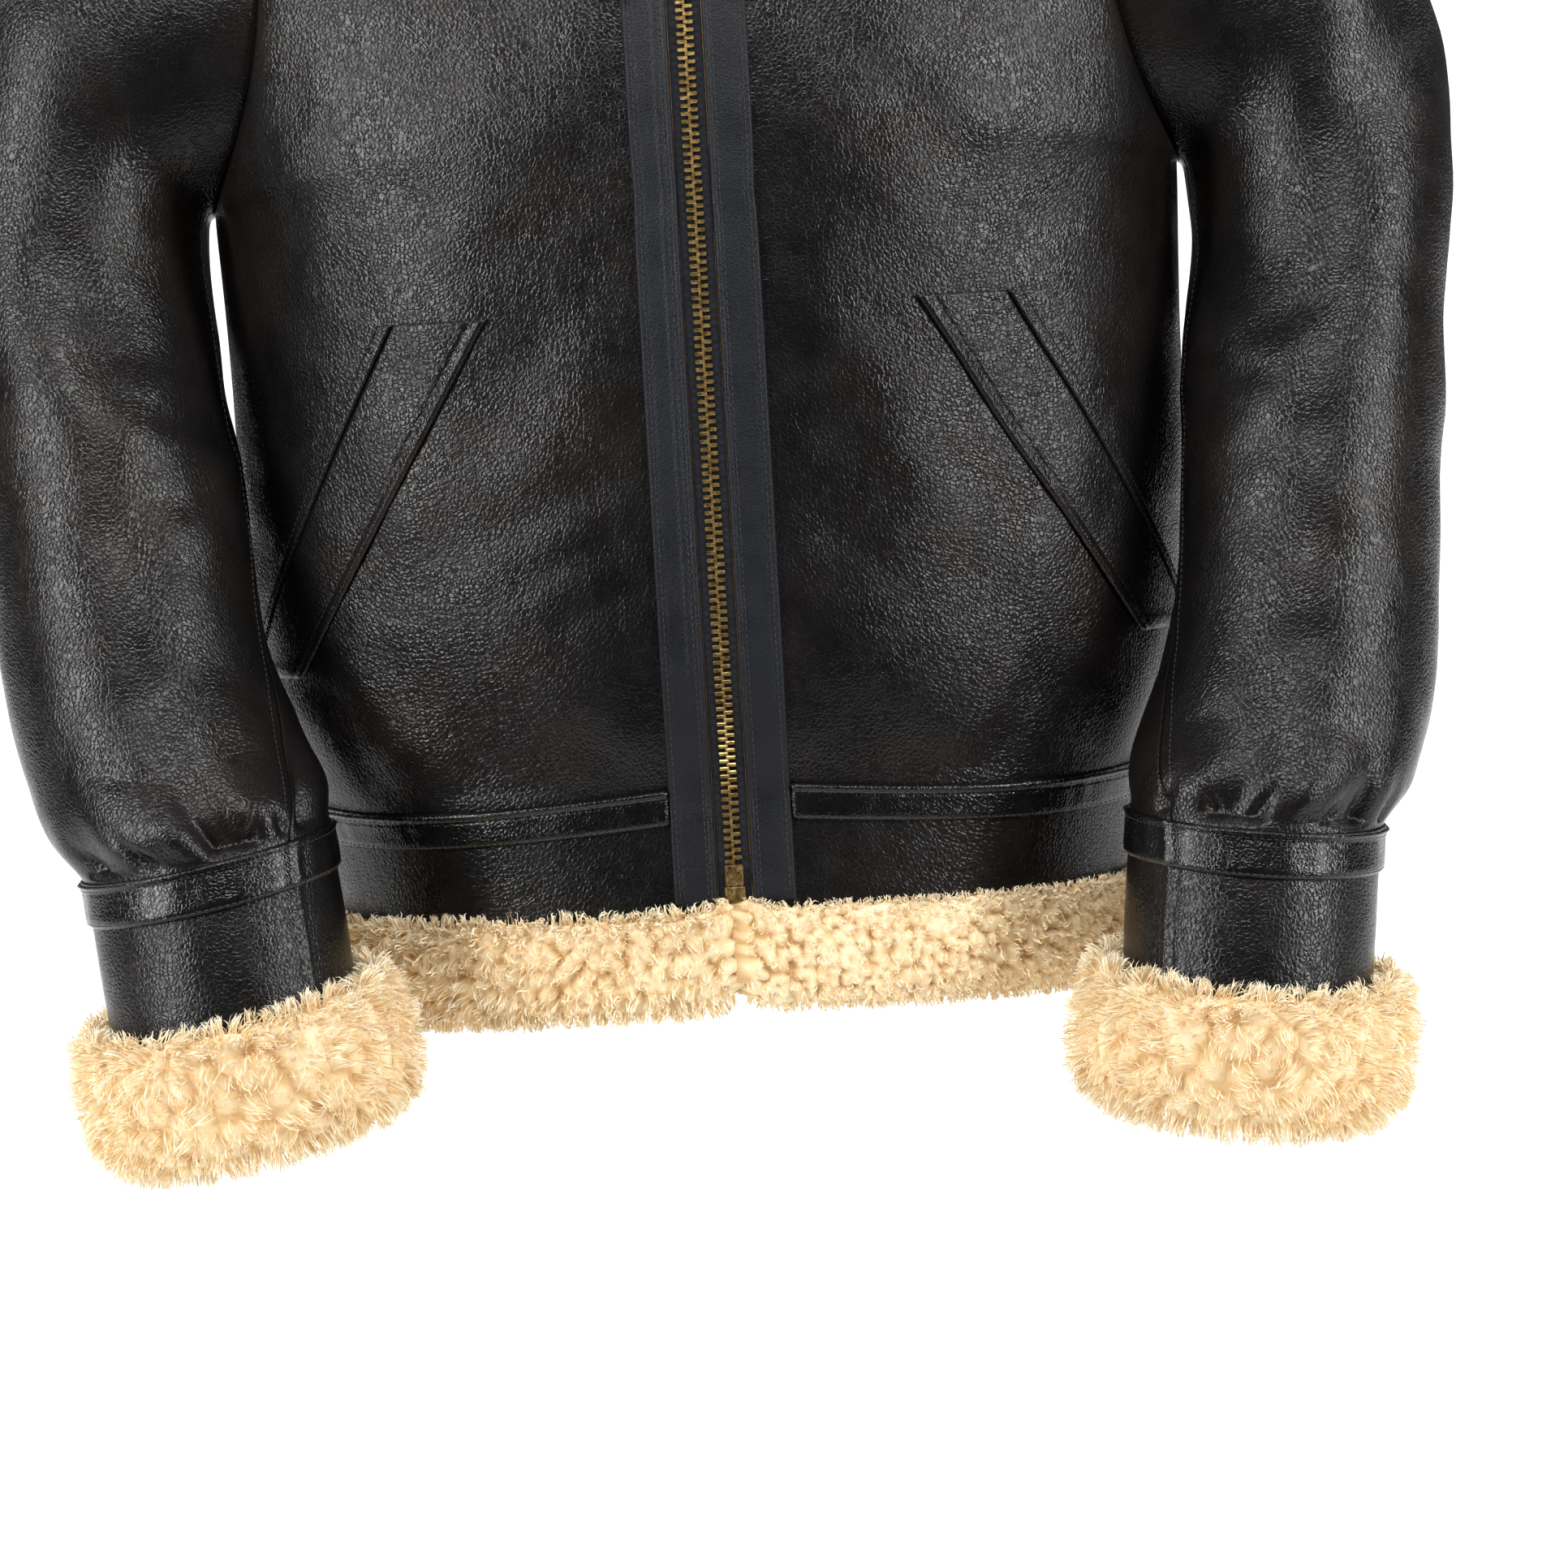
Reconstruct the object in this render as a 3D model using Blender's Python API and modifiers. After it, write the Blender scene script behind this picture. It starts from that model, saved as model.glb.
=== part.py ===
"""Shearling bomber jacket, filled out and hollow, as it hangs on a general figure.

Metres, +Z up. The front faces -Y. Left and right are as seen from the front, so left is -X.
The origin is the seat on the wearer's shoulders: mid-way between them, level with the nape.

Two surfaces carry every piece. The body is a stack of rows, each a quarter superellipse from the
centre line to the side seam or armhole. A sleeve is a stack of rings, from the armhole to the cuff.
"""
import math
from collections import namedtuple

import bmesh
import bpy
from mathutils import Matrix, Vector

NAME = "shearling_jacket"
LEFT = -1
RIGHT = 1
FRONT = -1
BACK = 1
WORDS = {LEFT: "left", RIGHT: "right"}

# Sizes of the cloth and trim.
WALL = 0.006
SEAM_GAP = 0.0003
TRIM = 0.0014
STRAP = 0.0022
TAPE = 0.0012
COLLAR_WOOL = 0.009
COLLAR_HIDE = 0.0020
COLLAR_GAP = 0.0006

# Zip, as a coarse metal one.
CHAIN_WIDTH = 0.0086
CHAIN_THICK = 0.0028
CHAIN_BEHIND = 0.0020
TAPE_HALF = 0.0082
TAPE_BEHIND = 0.0023
PLACKET_INNER = 0.0085
PLACKET_OUTER = 0.0295

# Body rows from the fur tips at the hem up to the underarm. The dip lowers the row mid-panel.
BodyRow = namedtuple("BodyRow", "z half_width front back square dip")
BODY_ROWS = [
    BodyRow(-0.640, 0.2020, 0.1230, 0.1180, 2.10, 0.00),
    BodyRow(-0.595, 0.2040, 0.1250, 0.1200, 2.10, 0.25),
    BodyRow(-0.546, 0.2100, 0.1270, 0.1230, 2.10, 1.00),
    BodyRow(-0.528, 0.2150, 0.1285, 0.1250, 2.10, 1.00),
    BodyRow(-0.497, 0.2265, 0.1370, 0.1350, 2.05, 0.50),
    BodyRow(-0.450, 0.2345, 0.1440, 0.1410, 2.00, 0.10),
    BodyRow(-0.385, 0.2365, 0.1480, 0.1450, 2.00, 0.00),
    BodyRow(-0.315, 0.2375, 0.1500, 0.1470, 2.00, 0.00),
    BodyRow(-0.240, 0.2400, 0.1510, 0.1480, 2.00, 0.00),
]
STRAP_DIP = 0.010
HEM_EDGE = 1.0
STRAP_LOW = 2.0
STRAP_SEAM = 2.5
STRAP_HIGH = 3.0
UNDERARM = 8.0

# Yoke rows from the underarm to the shoulder seam, one for each 30 degrees of the armhole.
# x, y and z are where the row meets the centre line or neckline; inward is the direction of the
# wall there, in degrees from level (0) to straight down (90).
YokeRow = namedtuple("YokeRow", "x y z inward square")
FRONT_YOKE = [
    YokeRow(0.000, -0.1510, -0.240, 0, 2.00),
    YokeRow(0.000, -0.1500, -0.195, 4, 1.85),
    YokeRow(0.000, -0.1450, -0.148, 10, 1.60),
    YokeRow(0.000, -0.1340, -0.103, 18, 1.45),
    YokeRow(0.036, -0.1120, -0.074, 35, 1.30),
    YokeRow(0.074, -0.0660, -0.028, 60, 1.15),
    YokeRow(0.088, 0.0080, 0.008, 90, 1.00),
]
BACK_YOKE = [
    YokeRow(0.000, 0.1480, -0.240, 0, 2.00),
    YokeRow(0.000, 0.1470, -0.188, 4, 1.85),
    YokeRow(0.000, 0.1420, -0.135, 10, 1.60),
    YokeRow(0.000, 0.1310, -0.083, 20, 1.45),
    YokeRow(0.000, 0.1080, -0.030, 42, 1.30),
    YokeRow(0.045, 0.0860, -0.006, 66, 1.15),
    YokeRow(0.088, 0.0080, 0.008, 90, 1.00),
]
YOKE_STEP = 30.0
NECK_FRONT = 11.0

# The armhole ring. Its angle is 0 at the shoulder tip, 90 at the front, 180 under the arm.
SHOULDER_X = 0.222
SHOULDER_Z = -0.045
ARMHOLE_FRONT = 0.078
ARMHOLE_BACK = 0.082
ARMHOLE_INSET = 0.024
SLEEVE_GAP = 0.0005

# Sleeve rings below the armhole, for the right side. lean turns the ring's outer side up, nod its
# front down, twist turns the seams round the arm, all in degrees.
SleeveRow = namedtuple("SleeveRow", "x y z half_width half_depth lean nod twist")
SLEEVE_ROWS = [
    SleeveRow(0.2880, 0.000, -0.170, 0.0880, 0.0810, 60.0, 0.0, 4.0),
    SleeveRow(0.3080, -0.008, -0.224, 0.0800, 0.0780, 37.0, 0.0, 8.0),
    SleeveRow(0.3070, -0.027, -0.279, 0.0715, 0.0740, 20.0, 0.0, 12.0),
    SleeveRow(0.2985, -0.050, -0.333, 0.0670, 0.0700, 10.0, 0.0, 16.0),
    SleeveRow(0.2940, -0.063, -0.378, 0.0655, 0.0680, 4.0, 0.0, 18.0),
    SleeveRow(0.2870, -0.083, -0.455, 0.0650, 0.0670, -2.0, 0.0, 8.0),
    SleeveRow(0.2745, -0.101, -0.506, 0.0680, 0.0660, -6.0, 2.0, -8.0),
    SleeveRow(0.2620, -0.119, -0.538, 0.0685, 0.0650, -7.0, 3.0, -20.0),
    SleeveRow(0.2535, -0.129, -0.558, 0.0612, 0.0560, -7.5, 4.0, -28.0),
    SleeveRow(0.2500, -0.135, -0.580, 0.0605, 0.0550, -7.5, 5.0, -31.0),
    SleeveRow(0.2465, -0.141, -0.608, 0.0605, 0.0550, -7.5, 6.0, -31.0),
    SleeveRow(0.2430, -0.146, -0.638, 0.0600, 0.0550, -7.5, 7.0, -31.0),
    SleeveRow(0.2350, -0.153, -0.700, 0.0600, 0.0550, -7.5, 8.0, -31.0),
]
CUFF_STRAP_TOP = 9.0
CUFF_SEAM = 9.5
CUFF_STRAP_END = 10.0
CUFF_EDGE = 12.0
FRONT_SEAM = 165.0
BACK_SEAM = 255.0
CUFF_RAISE = {LEFT: 0.012, RIGHT: 0.0}
CUFF_TURN = {LEFT: -2.5, RIGHT: 0.5}
FOREARM_START = 4.0
FOREARM_LENGTH = 5.0

# Sleeve folds and pleats: place in rows, angle and half sizes in rows and degrees, depth in metres.
Fold = namedtuple("Fold", "place angle half_rows half_angle depth slant")
SLEEVE_FOLDS = {
    RIGHT: [
        Fold(8.45, 108, 1.1, 11, 0.0065, 4),
        Fold(8.50, 50, 1.0, 11, 0.0060, -6),
        Fold(8.50, 255, 1.0, 12, 0.0055, 4),
        Fold(8.40, 320, 1.0, 12, 0.0050, -4),
        Fold(4.60, 150, 0.9, 34, 0.0045, 30),
        Fold(3.20, 120, 0.8, 40, 0.0050, -35),
        Fold(2.10, 60, 0.9, 34, 0.0040, 30),
        Fold(5.60, 290, 0.8, 36, 0.0045, 25),
    ],
    LEFT: [
        Fold(8.45, 107, 1.3, 10, 0.0075, 6),
        Fold(8.50, 152, 1.2, 10, 0.0050, 0),
        Fold(8.50, 40, 1.0, 12, 0.0055, -5),
        Fold(8.40, 262, 1.0, 12, 0.0055, 4),
        Fold(4.30, 145, 0.9, 34, 0.0045, -30),
        Fold(3.10, 110, 0.8, 38, 0.0050, 35),
        Fold(2.00, 65, 0.9, 32, 0.0040, -30),
        Fold(5.50, 285, 0.8, 36, 0.0045, -25),
    ],
}

# Body folds, placed the same way; the angle is 0 at the centre line and 90 at the side seam.
BODY_FOLDS = {
    (LEFT, FRONT): [Fold(4.0, 30, 0.9, 9, 0.0030, 8), Fold(6.6, 24, 1.3, 8, 0.0028, -10)],
    (RIGHT, FRONT): [Fold(4.0, 48, 0.9, 9, 0.0030, -8), Fold(6.2, 36, 1.6, 8, 0.0032, 6)],
    (LEFT, BACK): [Fold(4.2, 35, 1.0, 10, 0.0040, 6), Fold(6.8, 62, 1.3, 10, 0.0045, -8)],
    (RIGHT, BACK): [Fold(4.2, 30, 1.0, 10, 0.0040, -6), Fold(6.8, 58, 1.3, 10, 0.0045, 8)],
}

# Fur sections, out from the leather's face and up from its edge. They run round the leather's end.
FurPoint = namedtuple("FurPoint", "out up")
CUFF_FUR = [
    FurPoint(0.0034, 0.006), FurPoint(0.0100, 0.010), FurPoint(0.0185, 0.003),
    FurPoint(0.0225, -0.014), FurPoint(0.0225, -0.038), FurPoint(0.0165, -0.054),
    FurPoint(0.0020, -0.062), FurPoint(-0.0130, -0.056), FurPoint(-0.0190, -0.038),
    FurPoint(-0.0180, -0.0005), FurPoint(0.0010, -0.0005),
]
HEM_FUR = [
    FurPoint(0.0008, 0.004), FurPoint(0.0060, 0.006), FurPoint(0.0105, -0.001),
    FurPoint(0.0120, -0.016), FurPoint(0.0105, -0.033), FurPoint(0.0040, -0.043),
    FurPoint(-0.0060, -0.045), FurPoint(-0.0140, -0.038), FurPoint(-0.0165, -0.018),
    FurPoint(-0.0150, -0.0005), FurPoint(0.0008, -0.0005),
]

# Pocket: the slanted front edge of the welt, as x and z, and the welt's width round the body.
POCKET_TOP = (0.1030, -0.300)
POCKET_END = (0.2050, -0.468)
WELT_ACROSS = 0.050
STRIP_ACROSS = 0.0095
WELT_STEPS = 12
WELT_COLUMNS = 4
WELT_LIFT = 0.0009

# Collar rows at equal stops round the neckline, from the zip past the shoulder to the centre back.
# facing is the way the fall points, in degrees from +X towards +Y; the last row mirrors the back.
CollarRow = namedtuple("CollarRow", "facing stand fall_out fall_down")
COLLAR_ROWS = [
    CollarRow(-82, 0.032, 0.047, 0.084),
    CollarRow(-66, 0.038, 0.054, 0.098),
    CollarRow(-36, 0.044, 0.066, 0.078),
    CollarRow(2, 0.050, 0.082, 0.056),
    CollarRow(52, 0.054, 0.082, 0.060),
    CollarRow(90, 0.056, 0.074, 0.064),
    CollarRow(128, 0.054, 0.082, 0.060),
]
SHOULDER_STOP = 3.0
COLLAR_STOPS = [0.5, 1.0, 1.5, 2.0, 2.5, 3.0, 3.5, 4.0, 4.5, 5.0]
COLLAR_DEPTH = COLLAR_WOOL + COLLAR_GAP + COLLAR_HIDE
COLLAR_SEAT = 0.0008

# Where the pieces' rows and columns stand. Places count body rows or sleeve rings.
FRONT_SPANS = 8
BACK_SPANS = 8
BAND_PLACES = [HEM_EDGE, STRAP_LOW, STRAP_SEAM]
STRAP_PLACES = [STRAP_LOW, STRAP_SEAM, STRAP_HIGH]
LOWER_PLACES = [STRAP_SEAM, STRAP_HIGH, 3.5, 4.0, 5.0, 6.0, 7.0, UNDERARM]
YOKE_PLACES = [UNDERARM + k / 2 for k in range(1, 13)]
PANEL_PLACES = LOWER_PLACES + YOKE_PLACES
BACK_NECK = 12.0
PLACKET_FOOT = 1.16
PLACKET_PLACES = [PLACKET_FOOT, STRAP_LOW] + [p for p in PANEL_PLACES if p <= NECK_FRONT]
ARM_TURNS = [k * YOKE_STEP / 2 for k in range(24)]
TOP_TURNS = [a - 360.0 for a in ARM_TURNS if a >= BACK_SEAM] + [a for a in ARM_TURNS if a <= FRONT_SEAM]
UNDER_TURNS = [a for a in ARM_TURNS if FRONT_SEAM <= a <= BACK_SEAM]
SLEEVE_PLACES = [0.0, 0.5, 1.0, 1.6, 2.2, 3.0, 4.0, 5.0, 6.0, 6.8, 7.4, 8.0, 8.5, CUFF_STRAP_TOP, CUFF_SEAM]
CUFF_PLACES = [CUFF_SEAM, CUFF_STRAP_END, 11.0, CUFF_EDGE]
CUFF_STRAP_PLACES = [CUFF_STRAP_TOP + 0.04, CUFF_SEAM, CUFF_STRAP_END]

# Pull tab and slider, in the slider's own frame: x across, y out of the jacket, z up the zip.
SLIDER_PLACE = 10.62
SLIDER_WIDTH = 0.0104
SLIDER_HEIGHT = 0.0140
SLIDER_THICK = 0.0016
BAIL_WIDTH = 0.0030
BAIL_HALF = 0.0046
BAIL_THICK = 0.0011
BAIL_INSIDE = 0.0022
PULL_WIDTH = 0.0085
PULL_LENGTH = 0.034
PULL_THICK = 0.0012
PULL_BAR = 0.0007
PULL_SLOT_WIDTH = 0.0042
PULL_SLOT_LENGTH = 0.0062

# Bottom stop of the zip.
BOX_LOW_Z = -0.5880
BOX_HIGH_Z = -0.5795
PIN_HIGH_Z = -0.5690
BOX_WIDTH = 0.0098
BOX_THICK = 0.0044
PIN_WIDTH = 0.0088
PIN_THICK = 0.0036
STOP_EDGE = 0.0005

COLOURS = {
    "leather": ((0.016, 0.015, 0.015), 0.42, 0.0),
    "nappa": ((0.009, 0.009, 0.010), 0.22, 0.0),
    "placket": ((0.013, 0.014, 0.017), 0.55, 0.0),
    "tape": ((0.012, 0.014, 0.020), 0.85, 0.0),
    "brass": ((0.48, 0.34, 0.14), 0.35, 1.0),
    "wool": ((0.84, 0.63, 0.34), 0.95, 0.0),
}


def clear_scene():
    """Remove what the file holds."""
    for old in list(bpy.data.objects):
        bpy.data.objects.remove(old, do_unlink=True)


def material(slot):
    """The Principled material of a slot, made once."""
    found = bpy.data.materials.get(slot)
    if found:
        return found
    colour, roughness, metallic = COLOURS[slot]
    made = bpy.data.materials.new(slot)
    made.use_nodes = True
    shader = made.node_tree.nodes["Principled BSDF"]
    shader.inputs["Base Color"].default_value = (*colour, 1.0)
    shader.inputs["Roughness"].default_value = roughness
    shader.inputs["Metallic"].default_value = metallic
    return made


def spline(values, place):
    """Smooth value at a place counted in rows: a Catmull-Rom curve through numbers or vectors."""
    last = len(values) - 1
    i = min(max(int(math.floor(place)), 0), last - 1)
    f = place - i
    here = values[i]
    after = values[i + 1]
    before = values[i - 1] if i > 0 else here * 2 - after
    later = values[i + 2] if i + 2 <= last else after * 2 - here
    linear = (after - before) * f
    square = (before * 2 - here * 5 + after * 4 - later) * (f * f)
    cubic = (here * 3 - before - after * 3 + later) * (f * f * f)
    return (here * 2 + linear + square + cubic) * 0.5


def column(rows, name, place):
    """Smooth value of a table's named column."""
    return spline([getattr(row, name) for row in rows], place)


def blend(start, length, place):
    """0 before start, 1 after start + length, smooth between."""
    f = min(max((place - start) / length, 0.0), 1.0)
    return f * f * (3 - 2 * f)


def fold_depth(folds, place, angle):
    """Depth of the troughs at a place and angle, each a soft slanted hollow."""
    depth = 0.0
    for fold in folds:
        up = (place - fold.place) / fold.half_rows
        turn = (angle - fold.angle + 180.0) % 360.0 - 180.0
        across = (turn - fold.slant * up) / fold.half_angle
        depth += fold.depth * math.exp(-up * up - across * across)
    return depth


def armhole(angle, depth=0.0):
    """Point of the right armhole's ring; depth moves it inward, where body and sleeve share it."""
    turn = math.radians(angle)
    underarm = BODY_ROWS[-1]
    middle_z = (SHOULDER_Z + underarm.z) / 2
    reach_z = (SHOULDER_Z - underarm.z) / 2
    reach_y = ARMHOLE_FRONT if math.sin(turn) > 0 else ARMHOLE_BACK
    low = (1 - math.cos(turn)) / 2
    x = SHOULDER_X + (underarm.half_width - SHOULDER_X) * low - ARMHOLE_INSET * math.sin(turn) ** 2
    ring = Vector((x, -reach_y * math.sin(turn), middle_z + reach_z * math.cos(turn)))
    inward = Vector((-0.4 - 0.6 * low, math.sin(turn), -math.cos(turn))).normalized()
    return ring + inward * depth


def body_ends(face, place, depth):
    """Centre end and side end of a body row on the right, and its squareness."""
    if place <= UNDERARM:
        z = column(BODY_ROWS, "z", place)
        reach = column(BODY_ROWS, "front" if face == FRONT else "back", place)
        centre = Vector((0.0, face * (reach - depth), z))
        side = Vector((column(BODY_ROWS, "half_width", place) - depth, 0.0, z))
        return centre, side, column(BODY_ROWS, "square", place)
    rows = FRONT_YOKE if face == FRONT else BACK_YOKE
    step = place - UNDERARM
    inward = math.radians(column(rows, "inward", step))
    x = max(column(rows, "x", step), 0.0)
    centre = Vector((x, column(rows, "y", step), column(rows, "z", step)))
    centre += Vector((0.0, -face * math.cos(inward), -math.sin(inward))) * depth
    angle = 180.0 - step * YOKE_STEP if face == FRONT else 180.0 + step * YOKE_STEP
    return centre, armhole(angle, depth), column(rows, "square", step)


def body_point(side, face, place, turn, depth=0.0):
    """Point of the body: turn runs from 0 degrees at the centre line to 90 at the side."""
    centre, end, square = body_ends(face, place, depth)
    angle = math.radians(min(max(turn, 0.0), 90.0))
    out = math.sin(angle) ** (2 / square)
    back = max(math.cos(angle), 0.0) ** (2 / square)
    point = Vector((
        centre.x + (end.x - centre.x) * out,
        end.y + (centre.y - end.y) * back,
        centre.z + (end.z - centre.z) * out,
    ))
    if place < UNDERARM:
        point.z -= STRAP_DIP * column(BODY_ROWS, "dip", place) * math.sin(2 * angle)
    hollow = fold_depth(BODY_FOLDS[side, face], place, turn) * math.sin(2 * angle)
    away = Vector((out, face * back, 0.0)).normalized()
    point -= away * hollow
    point.x *= side
    return point


def sleeve_ring(side, row, angle, depth):
    """Point of one ring of a right sleeve; the left forearm is a little higher and more turned."""
    index = SLEEVE_ROWS.index(row) + 1
    share = blend(FOREARM_START, FOREARM_LENGTH, index)
    lean = math.radians(row.lean + CUFF_TURN[side] * share)
    nod = math.radians(row.nod)
    turn = math.radians(angle)
    sideways = Vector((math.cos(lean), 0.0, math.sin(lean)))
    forward = Vector((0.0, -math.cos(nod), -math.sin(nod)))
    centre = Vector((row.x, row.y, row.z + CUFF_RAISE[side] * share))
    across = sideways * ((row.half_width - depth) * math.cos(turn))
    return centre + across + forward * ((row.half_depth - depth) * math.sin(turn))


def sleeve_twist(place):
    """How far the seams have turned round the arm at a place."""
    return spline([0.0] + [row.twist for row in SLEEVE_ROWS], place)


def sleeve_point(side, place, angle, depth=0.0):
    """Point of a sleeve: place 0 is the armhole, angle is that of the armhole's ring."""
    turned = angle + sleeve_twist(place)
    start = armhole(angle, depth) + Vector((SLEEVE_GAP, 0.0, 0.0))
    rings = [start] + [sleeve_ring(side, row, turned, depth) for row in SLEEVE_ROWS]
    point = spline(rings, place)
    hollow = fold_depth(SLEEVE_FOLDS[side], place, turned) if place < CUFF_STRAP_TOP else 0.0
    hollow *= 1.0 - blend(CUFF_STRAP_TOP - 0.25, 0.25, place)
    if hollow > 0.0:
        middle = spline([armhole_centre()] + [ring_centre(side, row) for row in SLEEVE_ROWS], place)
        point -= (point - middle).normalized() * hollow
    point.x *= side
    return point


def armhole_centre():
    """Middle of the right armhole."""
    return (armhole(0) + armhole(180)) / 2


def ring_centre(side, row):
    """Middle of a sleeve ring, on the right."""
    share = blend(FOREARM_START, FOREARM_LENGTH, SLEEVE_ROWS.index(row) + 1)
    return Vector((row.x, row.y, row.z + CUFF_RAISE[side] * share))


def outward(surface, place, angle, away):
    """Unit normal of a surface, on the side that the vector away points to."""
    step = 0.02
    along = surface(place + step, angle) - surface(place - step, angle)
    across = surface(place, angle + step * 20) - surface(place, angle - step * 20)
    normal = along.cross(across).normalized()
    return normal if normal.dot(away) > 0 else -normal


def body_out(side, face, place, turn, lift):
    """Body point moved out of the surface by lift."""
    turn_inside = min(max(turn, 1.0), 89.0)

    def surface(p, t):
        return body_point(side, face, p, t)

    away = Vector((side * math.sin(math.radians(turn)), face * math.cos(math.radians(turn)), 0.1))
    normal = outward(surface, place, turn_inside, away)
    if turn >= 90.0:
        normal = Vector((normal.x, 0.0, normal.z)).normalized()
    return body_point(side, face, place, turn) + normal * lift


def sleeve_out(side, place, angle, lift):
    """Sleeve point moved out of the surface by lift."""
    def surface(p, a):
        return sleeve_point(side, p, a)

    opposite = sleeve_point(side, place, angle + 180.0)
    away = surface(place, angle) - opposite
    return surface(place, angle) + outward(surface, place, angle, away) * lift


def finish(name, bm, slot, smooth_angle=40.0):
    """Turn a bmesh into a named object with its faces pointing out."""
    bmesh.ops.recalc_face_normals(bm, faces=bm.faces)
    mesh = bpy.data.meshes.new(name)
    bm.to_mesh(mesh)
    bm.free()
    mesh.shade_smooth()
    mesh.set_sharp_from_angle(angle=math.radians(smooth_angle))
    mesh.materials.append(material(slot))
    made = bpy.data.objects.new(name, mesh)
    bpy.data.collections[NAME].objects.link(made)
    return made


def shell(name, outer, inner, slot, closed=False):
    """Closed wall between two grids with the same rows and columns; closed joins the row ends."""
    bm = bmesh.new()
    outside = [[bm.verts.new(point) for point in row] for row in outer]
    inside = [[bm.verts.new(point) for point in row] for row in inner]
    rows = len(outer)
    columns = len(outer[0])
    spans = columns if closed else columns - 1
    for i in range(rows - 1):
        for j in range(spans):
            k = (j + 1) % columns
            bm.faces.new((outside[i][j], outside[i][k], outside[i + 1][k], outside[i + 1][j]))
            bm.faces.new((inside[i][j], inside[i + 1][j], inside[i + 1][k], inside[i][k]))
    for i in (0, rows - 1):
        for j in range(spans):
            k = (j + 1) % columns
            bm.faces.new((outside[i][j], inside[i][j], inside[i][k]))
            bm.faces.new((outside[i][j], inside[i][k], outside[i][k]))
    for j in () if closed else (0, columns - 1):
        for i in range(rows - 1):
            bm.faces.new((outside[i][j], inside[i][j], inside[i + 1][j]))
            bm.faces.new((outside[i][j], inside[i + 1][j], outside[i + 1][j]))
    return finish(name, bm, slot)


def loop_sweep(name, sections, slot, closed=False):
    """Solid swept through closed sections of the same point count; open ends are capped."""
    bm = bmesh.new()
    rings = [[bm.verts.new(point) for point in section] for section in sections]
    count = len(sections[0])
    spans = len(rings) if closed else len(rings) - 1
    for i in range(spans):
        k = (i + 1) % len(rings)
        for j in range(count):
            n = (j + 1) % count
            bm.faces.new((rings[i][j], rings[k][j], rings[k][n], rings[i][n]))
    if not closed:
        bm.faces.new(rings[0])
        bm.faces.new(rings[-1][::-1])
    return finish(name, bm, slot)


def trim_grid(
    grid, gap=SEAM_GAP / 2, first_row=True, last_row=True, first_column=True, last_column=True
):
    """Draw a grid's edges in by a share of the seam gap, along the cloth."""
    rows = [list(row) for row in grid]

    def drawn(edge, inner):
        return edge + (inner - edge).normalized() * gap

    for j in range(len(rows[0])):
        if first_row:
            rows[0][j] = drawn(rows[0][j], grid[1][j])
        if last_row:
            rows[-1][j] = drawn(rows[-1][j], grid[-2][j])
    for i in range(len(rows)):
        if first_column:
            rows[i][0] = drawn(rows[i][0], grid[i][1])
        if last_column:
            rows[i][-1] = drawn(rows[i][-1], grid[i][-2])
    return rows


def turn_at(face, place, x):
    """The row's turn where it reaches x from the centre line."""
    centre, end, square = body_ends(face, place, 0.0)
    share = min(max((x - centre.x) / (end.x - centre.x), 0.0), 1.0)
    return math.degrees(math.asin(share ** (square / 2)))


def front_turns(place):
    """Turns of a front row's columns: the placket's two edges, then even steps to the side."""
    centre = body_ends(FRONT, place, 0.0)[0]
    inner = turn_at(FRONT, place, max(centre.x, PLACKET_INNER))
    outer = turn_at(FRONT, place, centre.x + PLACKET_OUTER)
    steps = [outer + (90.0 - outer) * k / (FRONT_SPANS - 1) for k in range(FRONT_SPANS)]
    return [inner] + steps


def make_fronts():
    """Front panels and the leather band below them."""
    for side, word in WORDS.items():
        for name, places in (("front_", PANEL_PLACES), ("hem_band_", BAND_PLACES)):
            outer = [[body_point(side, FRONT, p, t) for t in front_turns(p)] for p in places]
            inner = [[body_point(side, FRONT, p, t, WALL) for t in front_turns(p)] for p in places]
            outer = trim_grid(outer, first_column=False)
            inner = trim_grid(inner, first_column=False)
            shell(name + word, outer, inner, "leather")


def back_grid(places, depth):
    """Back rows from the left side to the right."""
    steps = [90.0 * k / BACK_SPANS for k in range(BACK_SPANS + 1)]
    return [
        [body_point(LEFT, BACK, p, t, depth) for t in reversed(steps[1:])]
        + [back_centre(p, depth)]
        + [body_point(RIGHT, BACK, p, t, depth) for t in steps[1:]]
        for p in places
    ]


def back_centre(place, depth):
    """Back centre line; above the neckline's corner it stays between the two neckline halves."""
    return body_point(RIGHT, BACK, place, 0.0, depth)


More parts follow.
